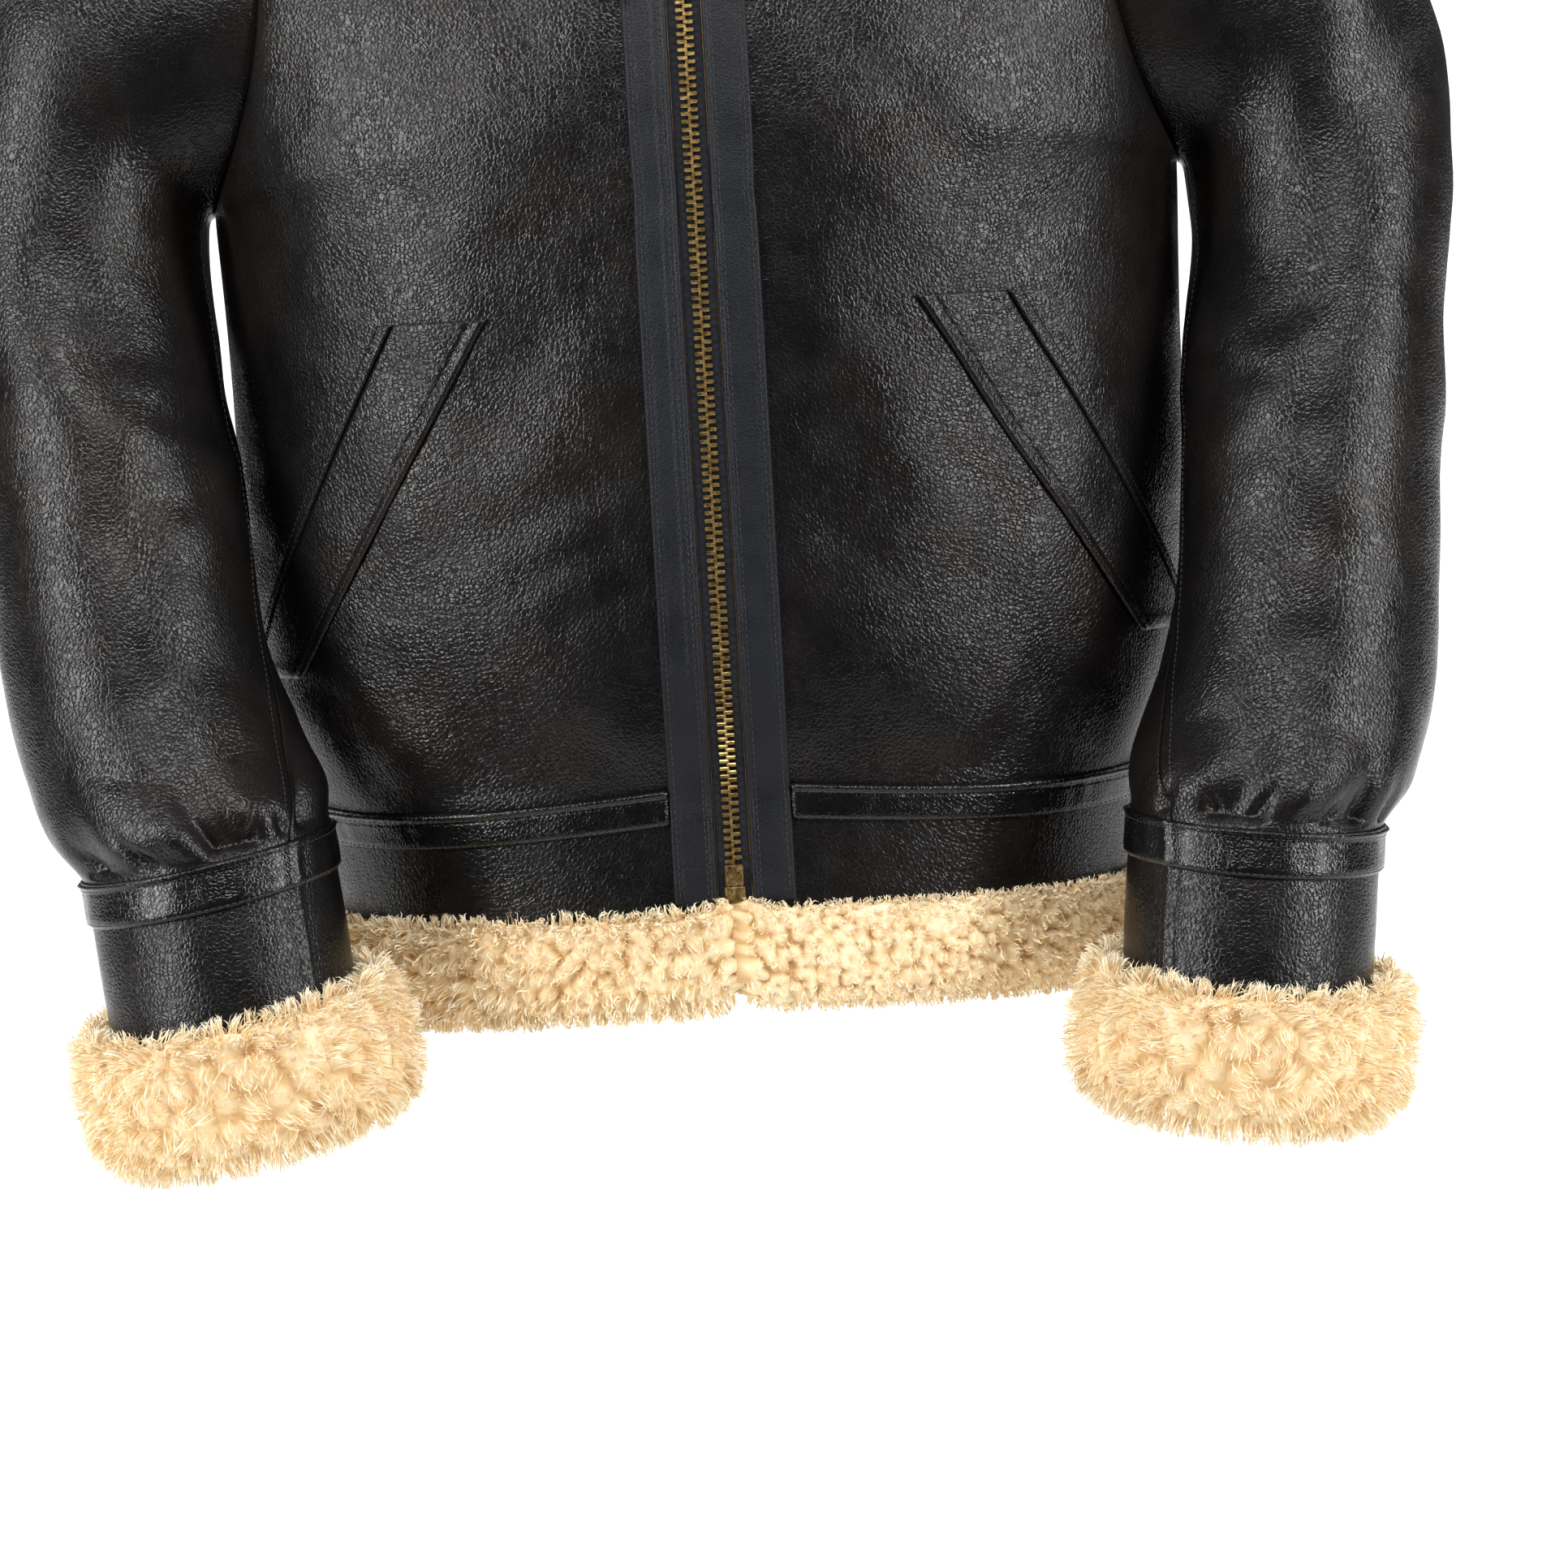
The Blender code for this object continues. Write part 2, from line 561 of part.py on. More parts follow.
def make_back():
    """Back panel up to the nape, with a wing to each shoulder seam, and its hem band."""
    whole = [p for p in PANEL_PLACES if p <= BACK_NECK]
    band = trim_grid(back_grid(BAND_PLACES, 0.0))
    band_inside = trim_grid(back_grid(BAND_PLACES, WALL))
    shell("hem_band_back", band, band_inside, "leather")
    bm = bmesh.new()
    wings = [p for p in PANEL_PLACES if p > BACK_NECK]
    layers = []
    for depth in (0.0, WALL):
        grid = trim_grid(back_grid(whole, depth), last_row=False)
        right_rows = [grid[-1][BACK_SPANS:]] + [wing_row(RIGHT, p, depth) for p in wings]
        right_rows = trim_grid(right_rows, first_row=False, first_column=False)[1:]
        left_rows = [grid[-1][:BACK_SPANS + 1]] + [wing_row(LEFT, p, depth)[::-1] for p in wings]
        left_rows = trim_grid(left_rows, first_row=False, last_column=False)[1:]
        body = [[bm.verts.new(point) for point in row] for row in grid]
        right = [body[-1][BACK_SPANS:]] + [[bm.verts.new(point) for point in row] for row in right_rows]
        left = [body[-1][:BACK_SPANS + 1]] + [[bm.verts.new(point) for point in row] for row in left_rows]
        layers.append((body, left, right))
        for block in layers[-1]:
            for low, high in zip(block, block[1:]):
                for j in range(len(low) - 1):
                    bm.faces.new((low[j], low[j + 1], high[j + 1], high[j]))
    outline_outer = back_outline(*layers[0])
    outline_inner = back_outline(*layers[1])
    count = len(outline_outer)
    for i in range(count):
        k = (i + 1) % count
        bm.faces.new((outline_outer[i], outline_outer[k], outline_inner[k], outline_inner[i]))
    finish("back", bm, "leather")


def wing_row(side, place, depth):
    """Back row from the neckline to the armhole, above the nape."""
    steps = [90.0 * k / BACK_SPANS for k in range(BACK_SPANS + 1)]
    return [body_point(side, BACK, place, t, depth) for t in steps]


def back_outline(body, left, right):
    """The back panel's edge, once round."""
    hem = body[0]
    right_side = [row[-1] for row in body[1:]] + [row[-1] for row in right[1:]]
    right_top = right[-1][-2::-1]
    right_neck = [row[0] for row in right[-2:0:-1]]
    nape = [body[-1][BACK_SPANS]]
    left_neck = [row[-1] for row in left[1:]]
    left_top = left[-1][-2::-1]
    left_side = [row[0] for row in left[-2:0:-1]] + [row[0] for row in body[:0:-1]]
    return hem + right_side + right_top + right_neck + nape + left_neck + left_top + left_side


def make_sleeves():
    """Top sleeve and under-sleeve of each arm; their seams follow the twist."""
    for side, word in WORDS.items():
        for name, turns in (("sleeve_top_", TOP_TURNS), ("sleeve_under_", UNDER_TURNS)):
            outer = [[sleeve_point(side, p, a) for a in turns] for p in SLEEVE_PLACES]
            inner = [[sleeve_point(side, p, a, WALL) for a in turns] for p in SLEEVE_PLACES]
            outer = trim_grid(outer, first_row=False)
            inner = trim_grid(inner, first_row=False)
            shell(name + word, outer, inner, "leather")


def make_cuffs():
    """Leather cuff band, glossy strap and turned-out wool of each sleeve."""
    for side, word in WORDS.items():
        outer = [[sleeve_point(side, p, a) for a in ARM_TURNS] for p in CUFF_PLACES]
        inner = [[sleeve_point(side, p, a, WALL) for a in ARM_TURNS] for p in CUFF_PLACES]
        outer = trim_grid(outer, first_column=False, last_column=False)
        inner = trim_grid(inner, first_column=False, last_column=False)
        shell("cuff_" + word, outer, inner, "leather", closed=True)
        top = SEAM_GAP + STRAP
        low = [[sleeve_out(side, p, a, SEAM_GAP) for a in ARM_TURNS] for p in CUFF_STRAP_PLACES]
        high = [[sleeve_out(side, p, a, top) for a in ARM_TURNS] for p in CUFF_STRAP_PLACES]
        shell("cuff_strap_" + word, high, low, "nappa", closed=True)
        sections = [cuff_fur_section(side, a) for a in ARM_TURNS]
        loop_sweep("cuff_fur_" + word, sections, "wool", closed=True)


def cuff_fur_section(side, angle):
    """Section of the cuff's wool at one angle round the arm."""
    edge = sleeve_point(side, CUFF_EDGE, angle)
    middle = ring_centre(side, SLEEVE_ROWS[11])
    middle.x *= side
    quarter = sleeve_point(side, CUFF_EDGE, angle + 90.0) - middle
    down = quarter.cross(edge - middle).normalized()
    if down.z > 0:
        down = -down
    out = edge - middle
    out = (out - down * out.dot(down)).normalized()
    return [edge + out * point.out - down * point.up for point in CUFF_FUR]


def hem_fur_section(side, face, turn):
    """Section of the hem's wool at one turn round the body."""
    edge = body_point(side, face, HEM_EDGE, turn)
    out = body_out(side, face, HEM_EDGE, turn, 1.0) - edge
    out.z = 0.0
    if turn <= 0.0:
        out.x = 0.0
    out.normalize()
    return [edge + out * point.out + Vector((0.0, 0.0, point.up)) for point in HEM_FUR]


def moved(section, x=0.0, y=0.0):
    """A section shifted for a seam gap."""
    return [point + Vector((x, y, 0.0)) for point in section]


def make_hem():
    """Glossy hem strap over the band's seam, and the wool below the band."""
    for side, word in WORDS.items():
        sections = [hem_fur_section(side, FRONT, t) for t in [0.0] + front_turns(HEM_EDGE)]
        sections[0] = [Vector((0.0, p.y, p.z)) for p in sections[0]]
        sections[0] = moved(sections[0], x=side * SEAM_GAP / 2)
        sections[-1] = moved(sections[-1], y=-SEAM_GAP / 2)
        loop_sweep("hem_fur_" + word, sections, "wool")
        low = strap_rows(side, SEAM_GAP)
        high = strap_rows(side, SEAM_GAP + STRAP)
        shell("hem_strap_" + word, high, low, "nappa")
    turns = [90.0 * k / BACK_SPANS for k in range(BACK_SPANS + 1)]
    sections = [hem_fur_section(LEFT, BACK, t) for t in reversed(turns)]
    sections += [hem_fur_section(RIGHT, BACK, t) for t in turns[1:]]
    sections[0] = moved(sections[0], y=SEAM_GAP / 2)
    sections[-1] = moved(sections[-1], y=SEAM_GAP / 2)
    loop_sweep("hem_fur_back", sections, "wool")
    shell("hem_strap_back", back_strap_rows(SEAM_GAP + STRAP), back_strap_rows(SEAM_GAP), "nappa")


def strap_rows(side, lift):
    """Front strap from the placket to the side seam."""
    rows = []
    for place in STRAP_PLACES:
        turns = front_turns(place)[1:]
        rows.append([body_out(side, FRONT, place, t, lift) for t in turns])
    return trim_grid(rows, gap=SEAM_GAP, first_row=False, last_row=False)


def back_strap_rows(lift):
    """Back strap from side seam to side seam."""
    steps = [90.0 * k / BACK_SPANS for k in range(BACK_SPANS + 1)]
    rows = [
        [body_out(LEFT, BACK, p, t, lift) for t in reversed(steps[1:])]
        + [body_out(RIGHT, BACK, p, t, lift) for t in steps]
        for p in STRAP_PLACES
    ]
    return trim_grid(rows, gap=SEAM_GAP, first_row=False, last_row=False)


def centre_level(place):
    """Height of the row at the centre line."""
    return body_ends(FRONT, place, 0.0)[0]


def centre_normal(place):
    """Outward direction at the centre front."""
    step = 0.05
    along = centre_level(place + step) - centre_level(place - step)
    return Vector((0.0, -along.z, along.y)).normalized()


def make_plackets():
    """Leather strips beside the zip, and the zip's tapes."""
    for side, word in WORDS.items():
        low = []
        high = []
        front = []
        behind = []
        for place in PLACKET_PLACES:
            turns = front_turns(place)[:2]
            low.append([body_out(side, FRONT, place, t, SEAM_GAP) for t in turns])
            high.append([body_out(side, FRONT, place, t, SEAM_GAP + TRIM) for t in turns])
            middle = centre_level(place)
            inward = -centre_normal(place)
            edges = (side * SEAM_GAP, side * TAPE_HALF)
            front.append([middle + Vector((x, 0, 0)) + inward * TAPE_BEHIND for x in edges])
            behind.append([middle + Vector((x, 0, 0)) + inward * (TAPE_BEHIND + TAPE) for x in edges])
        shell("placket_" + word, high, low, "placket")
        shell("zip_tape_" + word, front, behind, "tape")


def place_at_height(z):
    """Place of the centre line's point at a height, found by halving."""
    low = HEM_EDGE
    high = NECK_FRONT
    for _ in range(40):
        middle = (low + high) / 2
        if centre_level(middle).z < z:
            low = middle
        else:
            high = middle
    return low


def zip_section(place, half_width, behind, front):
    """Rectangle across the zip at a place."""
    middle = centre_level(place)
    normal = centre_normal(place)
    across = Vector((half_width, 0.0, 0.0))
    return [
        middle - across - normal * behind, middle + across - normal * behind,
        middle + across + normal * front, middle - across + normal * front,
    ]


def make_zip_chain():
    """Chain of closed teeth as one bar, with the pin and box at its foot."""
    top = SLIDER_PLACE + 0.2
    foot = place_at_height(PIN_HIGH_Z + SEAM_GAP)
    places = [foot] + [p for p in PLACKET_PLACES if foot + 0.1 < p < top - 0.1] + [top]
    front = CHAIN_THICK - CHAIN_BEHIND
    sections = [zip_section(p, CHAIN_WIDTH / 2, CHAIN_BEHIND, front) for p in places]
    loop_sweep("zip_chain", sections, "brass")
    spans = (
        ("zip_pin", BOX_HIGH_Z + SEAM_GAP, PIN_HIGH_Z, PIN_WIDTH, PIN_THICK),
        ("zip_box", BOX_LOW_Z, BOX_HIGH_Z, BOX_WIDTH, BOX_THICK),
    )
    for name, low, high, width, thick in spans:
        ends = [place_at_height(low), place_at_height(high)]
        sections = [zip_section(p, width / 2, CHAIN_BEHIND, thick - CHAIN_BEHIND) for p in ends]
        made = loop_sweep(name, sections, "brass")
        edge = made.modifiers.new("edge", "BEVEL")
        edge.width = STOP_EDGE
        edge.segments = 1


def flat_outline(name, points, holes, half_thickness):
    """Flat plate from an outline in its own XY plane, with holes."""
    curve = bpy.data.curves.new(name, "CURVE")
    curve.dimensions = "2D"
    curve.fill_mode = "BOTH"
    curve.extrude = half_thickness
    for outline in [points] + holes:
        line = curve.splines.new("POLY")
        line.points.add(len(outline) - 1)
        for point, (x, y) in zip(line.points, outline):
            point.co = (x, y, 0.0, 1.0)
        line.use_cyclic_u = True
    made = bpy.data.objects.new(name, curve)
    bpy.data.collections[NAME].objects.link(made)
    return made


def to_mesh_object(made, slot):
    """Replace a curve object by a mesh object of the same name and place."""
    name = made.name
    place = made.matrix_world.copy()
    graph = bpy.context.evaluated_depsgraph_get()
    mesh = bpy.data.meshes.new_from_object(made.evaluated_get(graph))
    bpy.data.objects.remove(made, do_unlink=True)
    bm = bmesh.new()
    bm.from_mesh(mesh)
    bpy.data.meshes.remove(mesh)
    bmesh.ops.remove_doubles(bm, verts=bm.verts, dist=0.000005)
    solid = finish(name, bm, slot)
    solid.matrix_world = place
    return solid


def slider_frame():
    """Place of the slider's face: x across, y out of the jacket, z up along the zip."""
    middle = centre_level(SLIDER_PLACE)
    out = centre_normal(SLIDER_PLACE)
    up = Vector((1.0, 0.0, 0.0)).cross(out)
    if up.z < 0:
        up = -up
    face = middle + out * (CHAIN_THICK - CHAIN_BEHIND + SEAM_GAP)
    return Matrix((
        (1.0, 0.0, 0.0, face.x),
        (0.0, out.y, up.y, face.y),
        (0.0, out.z, up.z, face.z),
        (0.0, 0.0, 0.0, 1.0),
    ))


def rectangle(half_x, low_y, high_y, x=0.0):
    """Corners of a rectangle."""
    return [(x - half_x, low_y), (x + half_x, low_y), (x + half_x, high_y), (x - half_x, high_y)]


def make_slider():
    """Slider's crown plate with the bail that carries the pull tab."""
    frame = slider_frame()
    bpy.ops.mesh.primitive_cube_add(size=1.0)
    plate = bpy.context.object
    plate.name = "zip_slider"
    plate.data.transform(Matrix.Diagonal((SLIDER_WIDTH, SLIDER_THICK, SLIDER_HEIGHT, 1.0)))
    plate.data.transform(Matrix.Translation((0.0, SLIDER_THICK / 2, 0.0)))
    plate.data.name = "zip_slider"
    plate.data.materials.append(material("brass"))
    for old in list(plate.users_collection):
        old.objects.unlink(plate)
    bpy.data.collections[NAME].objects.link(plate)
    inside = SLIDER_THICK + BAIL_INSIDE
    crown = inside + BAIL_THICK
    bail = flat_outline(
        "bail_guide",
        [(-BAIL_HALF, SLIDER_THICK / 2), (BAIL_HALF, SLIDER_THICK / 2), (BAIL_HALF, inside),
         (BAIL_HALF - BAIL_THICK, crown), (BAIL_THICK - BAIL_HALF, crown), (-BAIL_HALF, inside)],
        [rectangle(BAIL_HALF - BAIL_THICK * 1.3, SLIDER_THICK, inside)],
        BAIL_WIDTH / 2,
    )
    bail.matrix_world = Matrix(((0, 0, 1, 0), (0, 1, 0, 0), (1, 0, 0, 0), (0, 0, 0, 1)))
    bpy.context.view_layer.update()
    guide = to_mesh_object(bail, "brass")
    guide.data.transform(guide.matrix_world)
    guide.data.flip_normals()
    guide.matrix_world = Matrix.Identity(4)
    bpy.data.collections[NAME].objects.unlink(guide)
    bpy.data.collections[NAME + "_cutters"].objects.link(guide)
    guide.hide_render = True
    guide.display_type = "WIRE"
    join = plate.modifiers.new("bail", "BOOLEAN")
    join.operation = "UNION"
    join.object = guide
    plate.matrix_world = frame
    guide.matrix_world = frame


def make_pull():
    """Pull tab, hanging from the bail; its origin is on the hinge."""
    hinge = slider_frame() @ Matrix.Translation((0.0, SLIDER_THICK + BAIL_INSIDE / 2, 0.0))
    half = PULL_WIDTH / 2
    waist = half * 0.72
    end = PULL_BAR - PULL_LENGTH
    outline = [
        (-waist, PULL_BAR), (waist, PULL_BAR), (half, -0.008), (half, end + 0.003),
        (half - 0.003, end), (0.003 - half, end), (-half, end + 0.003), (-half, -0.008),
    ]
    slot = rectangle(PULL_SLOT_WIDTH / 2, -PULL_BAR - PULL_SLOT_LENGTH, -PULL_BAR)
    pull = flat_outline("zip_pull", outline, [slot], PULL_THICK / 2)
    pull.matrix_world = Matrix(((1, 0, 0, 0), (0, 0, 1, 0), (0, 1, 0, 0), (0, 0, 0, 1)))
    bpy.context.view_layer.update()
    solid = to_mesh_object(pull, "brass")
    solid.data.transform(solid.matrix_world)
    solid.data.flip_normals()
    solid.matrix_world = hinge


def pocket_spot(along, across):
    """Place and turn on the front: along the welt from 0 to 1, across it in metres."""
    x = POCKET_TOP[0] + (POCKET_END[0] - POCKET_TOP[0]) * along
    z = POCKET_TOP[1] + (POCKET_END[1] - POCKET_TOP[1]) * along
    place = place_at_height(z)
    turn = turn_at(FRONT, place, x)
    centre, end, _ = body_ends(FRONT, place, 0.0)
    step = math.radians(turn)
    pace = math.hypot(end.x * math.cos(step), centre.y * math.sin(step))
    return place, turn + math.degrees(across / pace)


def make_pockets():
    """Slanted pocket welt and the stitched strip along its rear edge."""
    bands = (
        ("pocket_welt_", 0.0, WELT_ACROSS, WELT_COLUMNS),
        ("pocket_strip_", WELT_ACROSS + SEAM_GAP * 2, WELT_ACROSS + STRIP_ACROSS, 1),
    )
    for side, word in WORDS.items():
        for name, start, stop, columns in bands:
            low = []
            high = []
            for i in range(WELT_STEPS + 1):
                along = i / WELT_STEPS
                steps = [start + (stop - start) * j / columns for j in range(columns + 1)]
                spots = [pocket_spot(along, across) for across in steps]
                spots = [(place, min(turn, 89.0)) for place, turn in spots]
                low.append([body_out(side, FRONT, p, t, WELT_LIFT) for p, t in spots])
                high.append([body_out(side, FRONT, p, t, WELT_LIFT + TRIM) for p, t in spots])
            shell(name + word, high, low, "leather")


def collar_path(row, depth):
    """Section of the collar, as out and up from its base: the wool's face moved in by depth."""
    out = row.fall_out
    top = row.stand
    low = row.stand - row.fall_down
    face = [
        Vector((0.0, 0.0)), Vector((0.0, top * 0.5)), Vector((0.006, top * 0.92)),
        Vector((out * 0.40, top + 0.009)), Vector((out * 0.72, top * 0.80)),
        Vector((out * 0.93, top * 0.35 + low * 0.65)), Vector((out, low)),
    ]
    path = []
    for i, point in enumerate(face):
        run = face[min(i + 1, len(face) - 1)] - face[max(i - 1, 0)]
        path.append(point + Vector((run.y, -run.x)).normalized() * depth)
    return path


def neckline(stop):
    """Point of the neckline on the right: stops count rows from the zip, past the shoulder, back."""
    if stop <= SHOULDER_STOP:
        return body_ends(FRONT, NECK_FRONT + stop, 0.0)[0]
    return body_ends(BACK, NECK_FRONT + 2 * SHOULDER_STOP - stop, 0.0)[0]


def collar_line(side, stop, depth):
    """Collar points at one stop."""
    row = CollarRow(**{key: column(COLLAR_ROWS, key, stop) for key in CollarRow._fields})
    facing = math.radians(row.facing)
    out = Vector((math.cos(facing), math.sin(facing), 0.0))
    base = neckline(stop) - out * COLLAR_DEPTH + Vector((0.0, 0.0, COLLAR_SEAT))
    line = [base + out * point.x + Vector((0.0, 0.0, point.y)) for point in collar_path(row, depth)]
    return [Vector((p.x * side, p.y, p.z)) for p in line]


def make_collar():
    """Plain turned-down collar: wool face outside, hide inside the fold."""
    hide_start = COLLAR_WOOL + COLLAR_GAP
    layers = (
        ("collar_fur", 0.0, COLLAR_WOOL, "wool"),
        ("collar", hide_start, COLLAR_DEPTH, "leather"),
    )
    for name, near, far, slot in layers:
        grids = []
        for depth in (near, far):
            left = [collar_line(LEFT, stop, depth) for stop in COLLAR_STOPS[:-1]]
            right = [collar_line(RIGHT, stop, depth) for stop in reversed(COLLAR_STOPS)]
            grids.append(left + right)
        shell(name, grids[0], grids[1], slot)


def make_collections():
    """One collection for the pieces and one for the cutters."""
    for name in (NAME, NAME + "_cutters"):
        made = bpy.data.collections.get(name) or bpy.data.collections.new(name)
        if made.name not in bpy.context.scene.collection.children:
            bpy.context.scene.collection.children.link(made)


def main():
    clear_scene()
    make_collections()
    make_fronts()
    make_back()
    make_sleeves()
    make_cuffs()
    make_hem()
    make_plackets()
    make_zip_chain()
    make_slider()
    make_pull()
    make_pockets()
    make_collar()


main()
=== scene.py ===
"""Looks of the shearling bomber jacket: grained leather shells, stitching, metal zip and wool.

The tables and the two surfaces repeat the construction: the body as rows from the centre line to
the side, and each sleeve as rings from the armhole. Here they are sampled finely and creased.
Left and right are as seen from the front, so left is -X, and the front faces -Y.
"""
import math
from collections import namedtuple

import bmesh
import bpy
import numpy as np
from mathutils import Matrix, Vector
from mathutils.kdtree import KDTree


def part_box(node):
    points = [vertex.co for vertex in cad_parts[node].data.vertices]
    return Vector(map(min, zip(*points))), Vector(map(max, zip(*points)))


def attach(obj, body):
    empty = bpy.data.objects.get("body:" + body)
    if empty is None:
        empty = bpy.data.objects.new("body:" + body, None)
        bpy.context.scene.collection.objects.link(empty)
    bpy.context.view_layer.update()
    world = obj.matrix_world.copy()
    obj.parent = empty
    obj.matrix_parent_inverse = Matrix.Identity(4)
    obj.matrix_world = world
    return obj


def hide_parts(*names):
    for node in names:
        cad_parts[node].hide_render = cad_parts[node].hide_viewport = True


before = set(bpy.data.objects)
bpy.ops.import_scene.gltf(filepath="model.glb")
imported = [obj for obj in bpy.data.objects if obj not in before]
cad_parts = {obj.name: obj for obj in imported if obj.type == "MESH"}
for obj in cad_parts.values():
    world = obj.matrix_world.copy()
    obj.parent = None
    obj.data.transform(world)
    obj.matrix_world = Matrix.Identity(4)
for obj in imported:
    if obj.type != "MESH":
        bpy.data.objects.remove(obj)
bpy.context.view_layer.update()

LEFT = -1
RIGHT = 1
FRONT = -1
BACK = 1
WORDS = {LEFT: "left", RIGHT: "right"}
BODY = "jacket"

# Sizes of the cloth and trim.
WALL = 0.006
SEAM_GAP = 0.0003
TRIM = 0.0014
STRAP = 0.0022
TAPE = 0.0012
COLLAR_WOOL = 0.009
COLLAR_HIDE = 0.0020
COLLAR_GAP = 0.0006
PLACKET_INNER = 0.0085
PLACKET_OUTER = 0.0295
TAPE_HALF = 0.0082
TAPE_BEHIND = 0.0023

# Body rows from the fur tips at the hem up to the underarm. The dip lowers the row mid-panel.
BodyRow = namedtuple("BodyRow", "z half_width front back square dip")
BODY_ROWS = [
    BodyRow(-0.640, 0.2020, 0.1230, 0.1180, 2.10, 0.00),
    BodyRow(-0.595, 0.2040, 0.1250, 0.1200, 2.10, 0.25),
    BodyRow(-0.546, 0.2100, 0.1270, 0.1230, 2.10, 1.00),
    BodyRow(-0.528, 0.2150, 0.1285, 0.1250, 2.10, 1.00),
    BodyRow(-0.497, 0.2265, 0.1370, 0.1350, 2.05, 0.50),
    BodyRow(-0.450, 0.2345, 0.1440, 0.1410, 2.00, 0.10),
    BodyRow(-0.385, 0.2365, 0.1480, 0.1450, 2.00, 0.00),
    BodyRow(-0.315, 0.2375, 0.1500, 0.1470, 2.00, 0.00),
    BodyRow(-0.240, 0.2400, 0.1510, 0.1480, 2.00, 0.00),
]
STRAP_DIP = 0.010
HEM_EDGE = 1.0
PLACKET_FOOT = 1.16
STRAP_LOW = 2.0
STRAP_SEAM = 2.5
STRAP_HIGH = 3.0
UNDERARM = 8.0
NECK_FRONT = 11.0
BACK_NECK = 12.0
SHOULDER = 14.0

# Yoke rows from the underarm to the shoulder seam, one for each 30 degrees of the armhole.
# x, y and z are where the row meets the centre line or neckline; inward is the direction of the
# wall there, in degrees from level (0) to straight down (90).
YokeRow = namedtuple("YokeRow", "x y z inward square")
YOKE = {
    FRONT: [
        YokeRow(0.000, -0.1510, -0.240, 0, 2.00),
        YokeRow(0.000, -0.1500, -0.195, 4, 1.85),
        YokeRow(0.000, -0.1450, -0.148, 10, 1.60),
        YokeRow(0.000, -0.1340, -0.103, 18, 1.45),
        YokeRow(0.036, -0.1120, -0.074, 35, 1.30),
        YokeRow(0.074, -0.0660, -0.028, 60, 1.15),
        YokeRow(0.088, 0.0080, 0.008, 90, 1.00),
    ],
    BACK: [
        YokeRow(0.000, 0.1480, -0.240, 0, 2.00),
        YokeRow(0.000, 0.1470, -0.188, 4, 1.85),
        YokeRow(0.000, 0.1420, -0.135, 10, 1.60),
        YokeRow(0.000, 0.1310, -0.083, 20, 1.45),
        YokeRow(0.000, 0.1080, -0.030, 42, 1.30),
        YokeRow(0.045, 0.0860, -0.006, 66, 1.15),
        YokeRow(0.088, 0.0080, 0.008, 90, 1.00),
    ],
}
YOKE_STEP = 30.0

# The armhole ring. Its angle is 0 at the shoulder tip, 90 at the front, 180 under the arm.
SHOULDER_X = 0.222
SHOULDER_Z = -0.045
ARMHOLE_FRONT = 0.078
ARMHOLE_BACK = 0.082
ARMHOLE_INSET = 0.024
SLEEVE_GAP = 0.0005

# Sleeve rings below the armhole, for the right side. lean turns the ring's outer side up, nod its
# front down, twist turns the seams round the arm, all in degrees.
SleeveRow = namedtuple("SleeveRow", "x y z half_width half_depth lean nod twist")
SLEEVE_ROWS = [
    SleeveRow(0.2880, 0.000, -0.170, 0.0880, 0.0810, 60.0, 0.0, 4.0),
    SleeveRow(0.3080, -0.008, -0.224, 0.0800, 0.0780, 37.0, 0.0, 8.0),
    SleeveRow(0.3070, -0.027, -0.279, 0.0715, 0.0740, 20.0, 0.0, 12.0),
    SleeveRow(0.2985, -0.050, -0.333, 0.0670, 0.0700, 10.0, 0.0, 16.0),
    SleeveRow(0.2940, -0.063, -0.378, 0.0655, 0.0680, 4.0, 0.0, 18.0),
    SleeveRow(0.2870, -0.083, -0.455, 0.0650, 0.0670, -2.0, 0.0, 8.0),
    SleeveRow(0.2745, -0.101, -0.506, 0.0680, 0.0660, -6.0, 2.0, -8.0),
    SleeveRow(0.2620, -0.119, -0.538, 0.0685, 0.0650, -7.0, 3.0, -20.0),
    SleeveRow(0.2535, -0.129, -0.558, 0.0612, 0.0560, -7.5, 4.0, -28.0),
    SleeveRow(0.2500, -0.135, -0.580, 0.0605, 0.0550, -7.5, 5.0, -31.0),
    SleeveRow(0.2465, -0.141, -0.608, 0.0605, 0.0550, -7.5, 6.0, -31.0),
    SleeveRow(0.2430, -0.146, -0.638, 0.0600, 0.0550, -7.5, 7.0, -31.0),
    SleeveRow(0.2350, -0.153, -0.700, 0.0600, 0.0550, -7.5, 8.0, -31.0),
]
CUFF_STRAP_TOP = 9.0
CUFF_SEAM = 9.5
CUFF_STRAP_END = 10.0
CUFF_EDGE = 12.0
FRONT_SEAM = 165.0
BACK_SEAM = 255.0
CUFF_RAISE = {LEFT: 0.012, RIGHT: 0.0}
CUFF_TURN = {LEFT: -2.5, RIGHT: 0.5}
FOREARM_START = 4.0
FOREARM_LENGTH = 5.0

